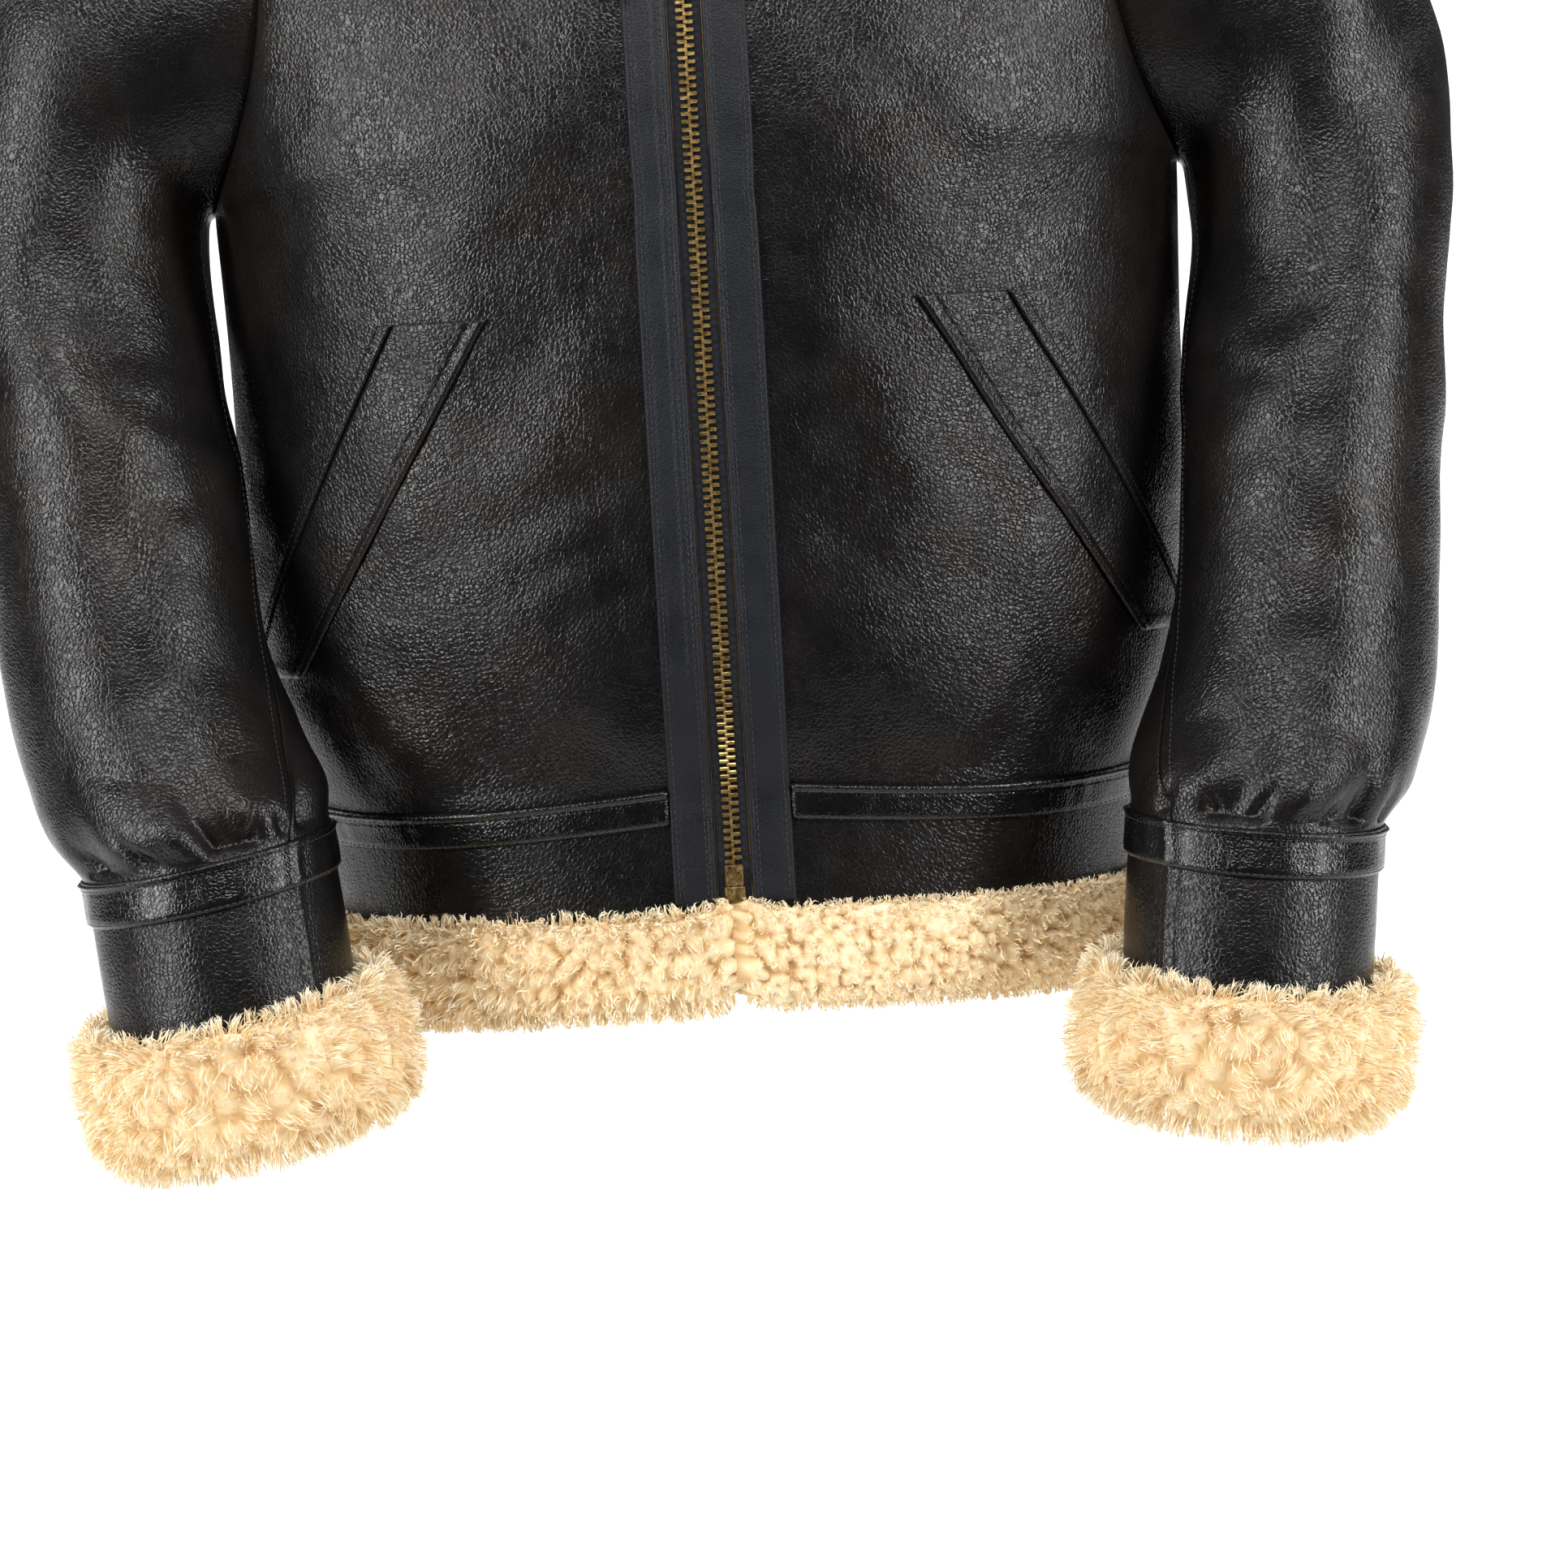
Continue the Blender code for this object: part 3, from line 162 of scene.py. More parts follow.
# Troughs: place in rows, angle and half sizes in rows and degrees, depth in metres, slant in
# degrees of angle for each half size up. A negative depth is a ridge.
Fold = namedtuple("Fold", "place angle half_rows half_angle depth slant")
SLEEVE_FOLDS = {
    RIGHT: [
        Fold(8.45, 108, 1.1, 11, 0.0065, 4),
        Fold(8.50, 50, 1.0, 11, 0.0060, -6),
        Fold(8.50, 255, 1.0, 12, 0.0055, 4),
        Fold(8.40, 320, 1.0, 12, 0.0050, -4),
        Fold(4.60, 150, 0.9, 34, 0.0045, 30),
        Fold(3.20, 120, 0.8, 40, 0.0050, -35),
        Fold(2.10, 60, 0.9, 34, 0.0040, 30),
        Fold(5.60, 290, 0.8, 36, 0.0045, 25),
    ],
    LEFT: [
        Fold(8.45, 107, 1.3, 10, 0.0075, 6),
        Fold(8.50, 152, 1.2, 10, 0.0050, 0),
        Fold(8.50, 40, 1.0, 12, 0.0055, -5),
        Fold(8.40, 262, 1.0, 12, 0.0055, 4),
        Fold(4.30, 145, 0.9, 34, 0.0045, -30),
        Fold(3.10, 110, 0.8, 38, 0.0050, 35),
        Fold(2.00, 65, 0.9, 32, 0.0040, -30),
        Fold(5.50, 285, 0.8, 36, 0.0045, -25),
    ],
}
BODY_FOLDS = {
    (LEFT, FRONT): [Fold(4.0, 30, 0.9, 9, 0.0030, 8), Fold(6.6, 24, 1.3, 8, 0.0028, -10)],
    (RIGHT, FRONT): [Fold(4.0, 48, 0.9, 9, 0.0030, -8), Fold(6.2, 36, 1.6, 8, 0.0032, 6)],
    (LEFT, BACK): [Fold(4.2, 35, 1.0, 10, 0.0040, 6), Fold(6.8, 62, 1.3, 10, 0.0045, -8)],
    (RIGHT, BACK): [Fold(4.2, 30, 1.0, 10, 0.0040, -6), Fold(6.8, 58, 1.3, 10, 0.0045, 8)],
}

# Finer creases, on top of the folds that the solids have.
SLEEVE_CREASES = {
    RIGHT: [
        Fold(8.70, 96, 0.55, 3.2, 0.0030, 3), Fold(8.75, 116, 0.50, 3.0, 0.0026, -3),
        Fold(8.60, 45, 0.60, 3.2, 0.0032, -5), Fold(8.72, 62, 0.42, 2.8, 0.0022, 2),
        Fold(8.68, 26, 0.60, 3.4, 0.0026, -6), Fold(8.70, 141, 0.50, 3.4, 0.0024, 3),
        Fold(8.65, 238, 0.50, 3.4, 0.0028, 2), Fold(8.70, 272, 0.50, 3.4, 0.0026, -3),
        Fold(8.66, 308, 0.50, 3.4, 0.0026, 4), Fold(8.70, 338, 0.50, 3.4, 0.0026, -4),
        Fold(8.70, 204, 0.46, 3.4, 0.0022, 2), Fold(8.2, 78, 0.7, 6, -0.0016, 3),
        Fold(5.1, 128, 0.22, 26, 0.0015, 22), Fold(5.5, 118, 0.20, 22, 0.0012, -20),
        Fold(4.1, 140, 0.26, 24, 0.0018, -24), Fold(3.6, 96, 0.24, 26, 0.0014, 22),
        Fold(6.4, 100, 0.22, 18, 0.0010, 16), Fold(7.2, 70, 0.24, 14, 0.0011, -14),
    ],
    LEFT: [
        Fold(8.62, 100, 0.75, 3.0, 0.0040, 3), Fold(8.75, 118, 0.50, 3.0, 0.0026, -3),
        Fold(8.60, 150, 0.70, 3.0, 0.0032, -2), Fold(8.72, 134, 0.42, 2.8, 0.0022, 2),
        Fold(8.68, 70, 0.60, 3.4, 0.0026, 6), Fold(8.70, 38, 0.50, 3.4, 0.0026, 3),
        Fold(8.65, 236, 0.50, 3.4, 0.0028, 2), Fold(8.70, 275, 0.50, 3.4, 0.0026, -3),
        Fold(8.66, 305, 0.50, 3.4, 0.0026, 4), Fold(8.70, 340, 0.50, 3.4, 0.0026, -4),
        Fold(8.70, 200, 0.46, 3.4, 0.0022, 2), Fold(8.2, 86, 0.7, 6, -0.0018, 3),
        Fold(5.0, 130, 0.22, 26, 0.0015, -22), Fold(5.4, 120, 0.20, 22, 0.0012, 20),
        Fold(4.0, 138, 0.26, 24, 0.0018, 24), Fold(3.5, 98, 0.24, 26, 0.0014, -22),
        Fold(6.3, 104, 0.22, 18, 0.0010, -16), Fold(7.1, 74, 0.24, 14, 0.0011, 14),
    ],
}
BODY_CREASES = {
    (LEFT, FRONT): [
        Fold(5.90, 20, 0.34, 7, 0.0016, -9), Fold(5.55, 16, 0.28, 6, 0.0014, -9),
        Fold(5.20, 13, 0.24, 5, 0.0011, -7), Fold(3.7, 16, 0.45, 4, 0.0012, 3),
        Fold(3.6, 33, 0.45, 4, 0.0014, -3), Fold(3.7, 52, 0.50, 4, 0.0014, 3),
        Fold(3.6, 68, 0.45, 4, 0.0014, -2), Fold(4.6, 60, 0.5, 7, 0.0013, 8),
    ],
    (RIGHT, FRONT): [
        Fold(5.70, 17, 0.30, 6, 0.0012, 8), Fold(5.10, 34, 0.5, 6, 0.0012, -7),
        Fold(3.7, 18, 0.45, 4, 0.0012, -3), Fold(3.6, 36, 0.45, 4, 0.0014, 3),
        Fold(3.7, 55, 0.50, 4, 0.0014, -3), Fold(3.6, 70, 0.45, 4, 0.0014, 2),
        Fold(4.6, 62, 0.5, 7, 0.0013, -8),
    ],
    (LEFT, BACK): [
        Fold(3.7, 14, 0.5, 4, 0.0014, 3), Fold(3.7, 36, 0.5, 4, 0.0016, -3), Fold(3.7, 60, 0.5, 4, 0.0016, 3),
        Fold(5.6, 40, 0.4, 9, 0.0014, 9), Fold(9.6, 70, 0.5, 8, 0.0016, -9),
        Fold(7.4, 30, 0.35, 9, 0.0012, 8),
    ],
    (RIGHT, BACK): [
        Fold(3.7, 22, 0.5, 4, 0.0014, -3), Fold(3.7, 44, 0.5, 4, 0.0016, 3),
        Fold(3.7, 66, 0.5, 4, 0.0016, -3),
        Fold(5.2, 34, 0.4, 9, 0.0014, -9), Fold(9.5, 66, 0.5, 8, 0.0016, 9),
        Fold(7.2, 44, 0.35, 9, 0.0012, -8),
    ],
}

# Pocket: upper and lower end of its front edge, and the widths of its welt and strip.
POCKET_TOP = (0.1030, -0.300)
POCKET_END = (0.2050, -0.468)
WELT_ACROSS = 0.050
WELT_LIFT = 0.0009
STRIP_ACROSS = 0.0095

# Collar sections from the front edge to the back: the way each faces, the height of its stand,
# and how far its fall stands out and hangs down.
CollarRow = namedtuple("CollarRow", "facing stand fall_out fall_down")
COLLAR_ROWS = [
    CollarRow(-82, 0.032, 0.047, 0.084),
    CollarRow(-66, 0.038, 0.054, 0.098),
    CollarRow(-36, 0.044, 0.066, 0.078),
    CollarRow(2, 0.050, 0.082, 0.056),
    CollarRow(52, 0.054, 0.082, 0.060),
    CollarRow(90, 0.056, 0.074, 0.064),
    CollarRow(128, 0.054, 0.082, 0.060),
]
SHOULDER_STOP = 3.0
LAST_STOP = 5.0
FIRST_STOP = 0.5
COLLAR_DEPTH = COLLAR_WOOL + COLLAR_GAP + COLLAR_HIDE
COLLAR_SEAT = 0.0008

# The bend at the height of the underarm is rounded over this many rows.
UNDERARM_SOFT = 0.45
UNDERARM_SHIFTS = (-0.6, -0.4, -0.2, 0.0, 0.2, 0.4, 0.6)

# Creases and swells fade out over these ranges: where each starts, and how long it is, in rows or
# in degrees of turn.
CREASE_GAIN = 1.35
FADE_STRAP = (STRAP_HIGH, 0.35)
FADE_SHOULDER = (SHOULDER - 1.2, 1.0)
FADE_CENTRE = (6.0, 8.0)
FADE_SIDE = (82.0, 8.0)
FADE_UNDERARM = (58.0, 26.0)
FADE_ARMHOLE = (0.3, 0.8)
FADE_CUFF = (CUFF_STRAP_TOP - 0.25, 0.25)

# Swells of the skin: height, size and which of the random patterns.
RIPPLES = ((0.0009, 0.11, 7), (0.0004, 0.05, 19))

# Sections of the turned-out wool: how far out and how high from its leather's edge.
CUFF_FUR = [
    (0.0034, 0.006), (0.0100, 0.010), (0.0185, 0.003), (0.0225, -0.014), (0.0225, -0.038), (0.0165, -0.054),
    (0.0020, -0.062), (-0.0130, -0.056), (-0.0190, -0.038), (-0.0180, -0.0005), (0.0010, -0.0005),
]
HEM_FUR = [
    (0.0008, 0.004), (0.0060, 0.006), (0.0105, -0.001), (0.0120, -0.016), (0.0105, -0.033), (0.0040, -0.043),
    (-0.0060, -0.045), (-0.0140, -0.038), (-0.0165, -0.018), (-0.0150, -0.0005), (0.0008, -0.0005),
]

# How each wool piece grows: its hairs with their length, width, curl, how much they fall and how
# far the hairs of a lock gather; the locks' size; how deep the core lies and how deep its creases are.
Wool = namedtuple("Wool", "hairs length width curl fall gather lock core crease seed")
CUFF_WOOL = Wool(16500, 0.0105, 0.00062, 0.0009, 0.45, 0.50, 0.0085, 0.0044, 0.0016, 11)
HEM_WOOL = {
    LEFT: Wool(9500, 0.0085, 0.00075, 0.0014, 0.60, 0.75, 0.0058, 0.0026, 0.0034, 23),
    RIGHT: Wool(7500, 0.0050, 0.00075, 0.0016, 0.25, 0.85, 0.0044, 0.0012, 0.0036, 31),
}
BACK_WOOL = Wool(9500, 0.0070, 0.00095, 0.0014, 0.45, 0.75, 0.0056, 0.0020, 0.0034, 47)
COLLAR_PILE = Wool(9000, 0.0075, 0.00100, 0.0012, 0.35, 0.70, 0.0064, 0.0022, 0.0030, 59)

# Shares of each section, from its start, that hairs grow on.
CUFF_VISIBLE = (0.0, 0.80)
HEM_VISIBLE = (0.0, 0.82)
COLLAR_VISIBLE = (0.0, 0.74)
FUR_REACH = 0.0045
LOCK_ROUND = 0.78
LOCK_RISE = 0.0010
LOCK_LEAN = 0.5
HAIR_STEPS = 4
HAIR_LEAN = 0.2
HAIR_BOW = 0.18

# The notch under the zip, the tuft of wool over the zip's foot, and the lap of the two sides.
HEM_FUR_HEIGHT = 0.05
NOTCH = 0.005
NOTCH_HALF = 0.008
TUFT = 0.0048
TUFT_HALF = 0.0125
TUFT_TOP = 0.0075
TUFT_FADE = 0.010
CENTRE_LAP = 0.0022

# Zip: the height of its foot, the top of its chain, and its teeth.
CHAIN_FOOT_Z = -0.5687
CHAIN_TOP_PLACE = 10.82
TOOTH_PITCH = 0.0038
TOOTH_LENGTH = 0.0047
TOOTH_HEIGHT = 0.0021
TOOTH_THICK = 0.0026
TOOTH_FILL = 0.72
TOOTH_EDGE = 0.00035
TOOTH_MESHED = 0.0006
TOOTH_SEAT = 0.0004
CHAIN_BEHIND = 0.0020

# Raised lines across a strip, and grooves where the height is negative. Places are shares of the
# strip's width from its first edge; on the lapped seam of the cuff they are degrees.
Bead = namedtuple("Bead", "at width height")
STRAP_BEADS = [Bead(0.93, 0.055, 0.0011), Bead(0.78, 0.03, -0.0005), Bead(0.07, 0.03, -0.0004)]
SEAM_BEADS = [Bead(1.5, 2.2, 0.0009), Bead(-1.5, 1.6, -0.0007)]
PLACKET_BEADS = [
    Bead(0.06, 0.05, 0.0006), Bead(0.95, 0.04, 0.0005), Bead(0.82, 0.03, -0.0004), Bead(0.17, 0.03, -0.0003),
]
PLACKET_DOUBLED = Bead(0.30, 0.06, 0.0006)
WELT_BEADS = [Bead(0.045, 0.03, 0.0009), Bead(0.15, 0.02, -0.0006)]
WELT_END = Bead(0.975, 0.014, 0.0008)
STRAP_PUCKER = 0.00018
PLACKET_WAVE = 0.00025
WELT_WAVE = 0.0004
STRIP_RIM = 0.35

# Stitches: the step from one to the next, and the length, thickness and lift of each.
STITCH_PITCH = 0.0034
STITCH_LENGTH = 0.0024
STITCH_THICK = 0.00042
STITCH_LIFT = 0.00012
STITCH_STEP = 0.0004

# Hides: display colours of the creases' and the worn parts, roughness, pebbles in each metre,
# depth of the pebbles and of the wrinkles in metres, and a clear coat's weight.
Hide = namedtuple("Hide", "name dark light rough_low rough_high grain depth wrinkle coat")
LEATHER = Hide("grained_leather", (8, 8, 9), (24, 19, 16), 0.25, 0.36, 430.0, 0.00025, 0.00040, 0.0)
NAPPA = Hide("glossy_nappa", (5, 5, 7), (12, 11, 13), 0.19, 0.28, 520.0, 0.00022, 0.0005, 0.15)
MATTE = Hide("matte_leather", (10, 12, 18), (20, 22, 29), 0.46, 0.56, 560.0, 0.00020, 0.0003, 0.0)

# Camera, surround and lights.
LENS = 143.0
SENSOR = 36.0
CAMERA_TARGET = (0.0265, -0.13, -0.531)
CAMERA_DISTANCE = 3.0
CAMERA_ROLL = math.radians(-3.3)
ELEVATION = math.radians(4.0)
SURROUND_LIGHT = 0.06
Lamp = namedtuple("Lamp", "name place target width height watts")
LAMPS = [
    Lamp("key_left", (-2.3, -1.8, 0.3), (-0.1, 0.0, -0.45), 0.42, 2.2, 54.0),
    Lamp("key_right", (2.4, -1.7, 0.3), (0.1, 0.0, -0.45), 0.42, 2.2, 52.0),
    Lamp("front_top", (0.0, -2.2, 1.7), (0.0, -0.1, -0.35), 1.6, 0.7, 36.0),
    Lamp("floor_wash", (0.0, 5.5, 3.2), (0.0, 5.5, -0.86), 12.0, 11.0, 900.0),
]


def spline_rows(values, places):
    """Catmull-Rom curve through the rows of an array, at an array of places counted in rows."""
    values = np.asarray(values, dtype=float)
    padded = np.concatenate([[2 * values[0] - values[1]], values, [2 * values[-1] - values[-2]]])
    places = np.asarray(places, dtype=float)
    index = np.clip(np.floor(places).astype(int), 0, len(values) - 2)
    f = (places - index).reshape(places.shape + (1,) * (values.ndim - 1))
    before, here, after, later = (padded[index + k] for k in range(4))
    linear = (after - before) * f
    square = (2 * before - 5 * here + 4 * after - later) * f ** 2
    cubic = (3 * here - before - 3 * after + later) * f ** 3
    return 0.5 * (2 * here + linear + square + cubic)


def column(rows, name, places):
    """Smooth values of a table's named column."""
    return spline_rows([getattr(row, name) for row in rows], places)


def blend(start, length, places):
    """0 before start, 1 after start + length, smooth between."""
    f = np.clip((np.asarray(places, dtype=float) - start) / length, 0.0, 1.0)
    return f * f * (3 - 2 * f)


def fold_depth(folds, places, angles):
    """Depth of the troughs on a grid of places and angles."""
    depth = np.zeros(np.broadcast(places, angles).shape)
    for fold in folds:
        up = (places - fold.place) / fold.half_rows
        turn = (angles - fold.angle + 180.0) % 360.0 - 180.0
        across = (turn - fold.slant * up) / fold.half_angle
        depth += fold.depth * np.exp(-up * up - across * across)
    return depth


def unit(vectors):
    """Vectors of length 1."""
    return vectors / np.maximum(np.linalg.norm(vectors, axis=-1, keepdims=True), 1e-12)


def armhole(angles, depth=0.0):
    """Points of the right armhole's ring; depth moves them inward."""
    turn = np.radians(np.asarray(angles, dtype=float))
    underarm = BODY_ROWS[-1]
    middle_z = (SHOULDER_Z + underarm.z) / 2
    reach_z = (SHOULDER_Z - underarm.z) / 2
    reach_y = np.where(np.sin(turn) > 0, ARMHOLE_FRONT, ARMHOLE_BACK)
    low = (1 - np.cos(turn)) / 2
    x = SHOULDER_X + (underarm.half_width - SHOULDER_X) * low - ARMHOLE_INSET * np.sin(turn) ** 2
    ring = np.stack([x, -reach_y * np.sin(turn), middle_z + reach_z * np.cos(turn)], -1)
    inward = unit(np.stack([-0.4 - 0.6 * low, np.sin(turn), -np.cos(turn)], -1))
    return ring + inward * depth


def body_ends(face, places, depth=0.0):
    """Centre ends and side ends of body rows on the right, and their squareness."""
    places = np.asarray(places, dtype=float)
    low = np.minimum(places, UNDERARM)
    step = np.maximum(places - UNDERARM, 0.0)
    z = column(BODY_ROWS, "z", low)
    reach = column(BODY_ROWS, "front" if face == FRONT else "back", low)
    wide = column(BODY_ROWS, "half_width", low)
    none = np.zeros_like(z)
    centre_low = np.stack([none, face * (reach - depth), z], -1)
    side_low = np.stack([wide - depth, none, z], -1)
    rows = YOKE[face]
    inward = np.radians(column(rows, "inward", step))
    centre_high = np.stack([
        np.maximum(column(rows, "x", step), 0.0),
        column(rows, "y", step) - face * np.cos(inward) * depth,
        column(rows, "z", step) - np.sin(inward) * depth,
    ], -1)
    side_high = armhole(180.0 + face * step * YOKE_STEP, depth)
    below = (places <= UNDERARM)[:, None]
    square = np.where(places <= UNDERARM, column(BODY_ROWS, "square", low), column(rows, "square", step))
    return np.where(below, centre_low, centre_high), np.where(below, side_low, side_high), square


def body_points(face, places, turns, depth):
    """Points of the right body's rows, and how far each has turned to the side and to the face."""
    centre, end, square = body_ends(face, places, depth)
    angle = np.radians(np.clip(turns, 0.0, 90.0))
    power = (2 / square)[:, None]
    out = np.sin(angle) ** power
    back = np.maximum(np.cos(angle), 0.0) ** power
    points = np.stack([
        centre[:, None, 0] + (end[:, None, 0] - centre[:, None, 0]) * out,
        end[:, None, 1] + (centre[:, None, 1] - end[:, None, 1]) * back,
        centre[:, None, 2] + (end[:, None, 2] - centre[:, None, 2]) * out,
    ], -1)
    dip = np.where(places < UNDERARM, column(BODY_ROWS, "dip", np.minimum(places, UNDERARM)), 0.0)
    points[..., 2] -= STRAP_DIP * dip[:, None] * np.sin(2 * angle)
    return points, out, back


def body_grid(side, face, places, turns, depth=0.0, creased=True):
    """Grid of body points; turns is one row of turns or a row for each place."""
    places = np.asarray(places, dtype=float)
    turns = np.broadcast_to(np.asarray(turns, dtype=float), (len(places), np.shape(turns)[-1]))
    points, out, back = body_points(face, places, turns, depth)
    near = np.exp(-((places - UNDERARM) / UNDERARM_SOFT) ** 2)[:, None] * (1 - blend(*FADE_UNDERARM, turns))
    soft = sum(body_points(face, places + shift, turns, depth)[0] for shift in UNDERARM_SHIFTS)
    points += near[..., None] * (soft / len(UNDERARM_SHIFTS) - points)
    hollow = fold_depth(BODY_FOLDS[side, face], places[:, None], turns) * np.sin(2 * np.radians(turns))
    if creased:
        calm = blend(*FADE_STRAP, places) * (1 - blend(*FADE_SHOULDER, places))
        fine = fold_depth(BODY_CREASES[side, face], places[:, None], turns) + ripples(points, side + 2 * face)
        edges = blend(*FADE_CENTRE, turns) * (1 - blend(*FADE_SIDE, turns))
        hollow = hollow + fine * calm[:, None] * edges
    away = unit(np.stack([out, face * back, np.zeros_like(out)], -1))
    points -= away * hollow[..., None]
    points[..., 0] *= side
    return points


def ripples(points, seed):
    """Small uneven swells of the skin, in metres."""
    return sum(height * lumps(points, size, seed + shift) for height, size, shift in RIPPLES)


def sleeve_twist(places):
    """How far the seams have turned round the arm at each place."""
    return spline_rows([0.0] + [row.twist for row in SLEEVE_ROWS], places)


def ring_centres(side):
    """Middles of the sleeve's rings on the right, the armhole's first."""
    share = blend(FOREARM_START, FOREARM_LENGTH, np.arange(1, len(SLEEVE_ROWS) + 1))
    rings = [[row.x, row.y, row.z + CUFF_RAISE[side] * s] for row, s in zip(SLEEVE_ROWS, share)]
    start = (armhole(0.0) + armhole(180.0)) / 2
    return np.array([start] + rings)


def sleeve_grid(side, places, angles, depth=0.0, creased=True):
    """Grid of sleeve points; place 0 is the armhole, and angles are those of the armhole's ring."""
    places = np.asarray(places, dtype=float)
    angles = np.asarray(angles, dtype=float)
    turned = angles[None, :] + sleeve_twist(places)[:, None]
    start = armhole(angles, depth) + np.array([SLEEVE_GAP, 0.0, 0.0])
    share = blend(FOREARM_START, FOREARM_LENGTH, np.arange(1, len(SLEEVE_ROWS) + 1))
    centres = ring_centres(side)
    stack = [np.broadcast_to(start, turned.shape + (3,))]
    turn = np.radians(turned)[..., None]
    for row, s, centre in zip(SLEEVE_ROWS, share, centres[1:]):
        lean = math.radians(row.lean + CUFF_TURN[side] * s)
        nod = math.radians(row.nod)
        outward = np.array([math.cos(lean), 0.0, math.sin(lean)])
        forward = np.array([0.0, -math.cos(nod), -math.sin(nod)])
        across = outward * ((row.half_width - depth) * np.cos(turn))
        stack.append(centre + across + forward * ((row.half_depth - depth) * np.sin(turn)))
    points = np.empty(turned.shape + (3,))
    for i, place in enumerate(places):
        points[i] = spline_rows(np.array([layer[i] for layer in stack]), np.array([place]))[0]
    hollow = fold_depth(SLEEVE_FOLDS[side], places[:, None], turned)
    if creased:
        calm = blend(*FADE_ARMHOLE, places)[:, None]
        fine = CREASE_GAIN * fold_depth(SLEEVE_CREASES[side], places[:, None], turned) + ripples(points, side)
        hollow = hollow + calm * fine
    hollow *= (1.0 - blend(*FADE_CUFF, places))[:, None]
    middles = spline_rows(centres, places)[:, None, :]
    points -= unit(points - middles) * hollow[..., None]
    points[..., 0] *= side
    return points


def turn_at(face, places, x):
    """Turns at which rows reach a distance from the centre line."""
    centre, end, square = body_ends(face, places)
    share = np.clip((x - centre[:, 0]) / (end[:, 0] - centre[:, 0]), 0.0, 1.0)
    return np.degrees(np.arcsin(share ** (square / 2)))


def normals(points, away):
    """Unit normals of a grid of points, on the side of the vectors in away."""
    along = np.gradient(points, axis=0)
    across = np.gradient(points, axis=1)
    found = unit(np.cross(along, across))
    side = np.sign(np.sum(found * away, axis=-1, keepdims=True))
    return found * np.where(side == 0, 1.0, side)


def drawn_in(points, gap=0.00002, first_row=True, last_row=True, first_column=True, last_column=True):
    """Draw a grid's edges in by a share of the seam gap."""
    grid = points.copy()
    if first_row:
        grid[0] += unit(points[1] - points[0]) * gap
    if last_row:
        grid[-1] += unit(points[-2] - points[-1]) * gap
    if first_column:
        grid[:, 0] += unit(points[:, 1] - points[:, 0]) * gap
    if last_column:
        grid[:, -1] += unit(points[:, -2] - points[:, -1]) * gap
    return grid


def new_object(name, vertices, faces, materials, indices=None):
    """Mesh object with its materials, riding on the jacket."""
    mesh = bpy.data.meshes.new(name)
    mesh.from_pydata(vertices, [], faces)
    for item in materials:
        mesh.materials.append(item)
    if indices is not None:
        mesh.polygons.foreach_set("material_index", indices)
    mesh.update()
    mesh.shade_smooth()
    made = bpy.data.objects.new(name, mesh)
    bpy.context.scene.collection.objects.link(made)
    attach(made, BODY)
    return made


def grid_faces(rows, columns, start, closed, flip):
    """Quads of a grid whose vertices start at an index."""
    faces = []
    for i in range(rows - 1):
        for j in range(columns if closed else columns - 1):
            k = (j + 1) % columns
            a, b = start + i * columns + j, start + i * columns + k
            c, d = start + (i + 1) * columns + k, start + (i + 1) * columns + j
            faces.append((a, d, c, b) if flip else (a, b, c, d))
    return faces


def shell(node, outer, inner, face, lining, closed=False):
    """Closed wall between two grids: face outside and on the rims, lining inside.

    The inside takes every second row and column, so a grid has an odd count of rows, and of
    columns too unless its row ends are joined.
    """
    inner = inner[::2, ::2]
    rows, columns = outer.shape[:2]
    rows_in, columns_in = inner.shape[:2]
    points = np.concatenate([outer.reshape(-1, 3), inner.reshape(-1, 3)])
    across = outer[1, 0] - outer[0, 0]
    along = outer[0, 1] - outer[0, 0]
    flip = np.dot(np.cross(along, across), outer[0, 0] - inner[0, 0]) < 0
    count = rows * columns
    faces = grid_faces(rows, columns, 0, closed, flip)
    outside = len(faces)
    faces += grid_faces(rows_in, columns_in, count, closed, not flip)
    inside = len(faces) - outside
    rims = []
    for i, i_in, turn in ((0, 0, 1), (rows - 1, rows_in - 1, -1)):
        for j in range(0, columns if closed else columns - 1, 2):
            a, b, c = (i * columns + (j + k) % columns for k in range(3))
            d, e = (count + i_in * columns_in + (j // 2 + k) % columns_in for k in range(2))
            rims.append((a, d, e, c, b)[::turn])
    if not closed:
        for j, j_in, turn in ((0, 0, -1), (columns - 1, columns_in - 1, 1)):
            for i in range(0, rows - 1, 2):
                a, b, c = ((i + k) * columns + j for k in range(3))
                d, e = (count + (i // 2 + k) * columns_in + j_in for k in range(2))
                rims.append((a, d, e, c, b)[::turn])
    if flip:
        rims = [rim[::-1] for rim in rims]
    faces += rims
    indices = [0] * outside + [1] * inside + [0] * len(rims)
    made = new_object(node + "_looks", points.tolist(), faces, [face, lining], indices)
    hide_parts(node)


def relief(share, beads):
    """Heights of raised lines and grooves across a strip."""
    return sum(bead.height * np.exp(-((share - bead.at) / bead.width) ** 2) for bead in beads)


def stitch(face, normal, *cuts):
    """Note lines of stitches, each a cut through a grid of points and its normals."""
    for cut in cuts:
        stitch_lines.append((face[cut], normal[cut]))


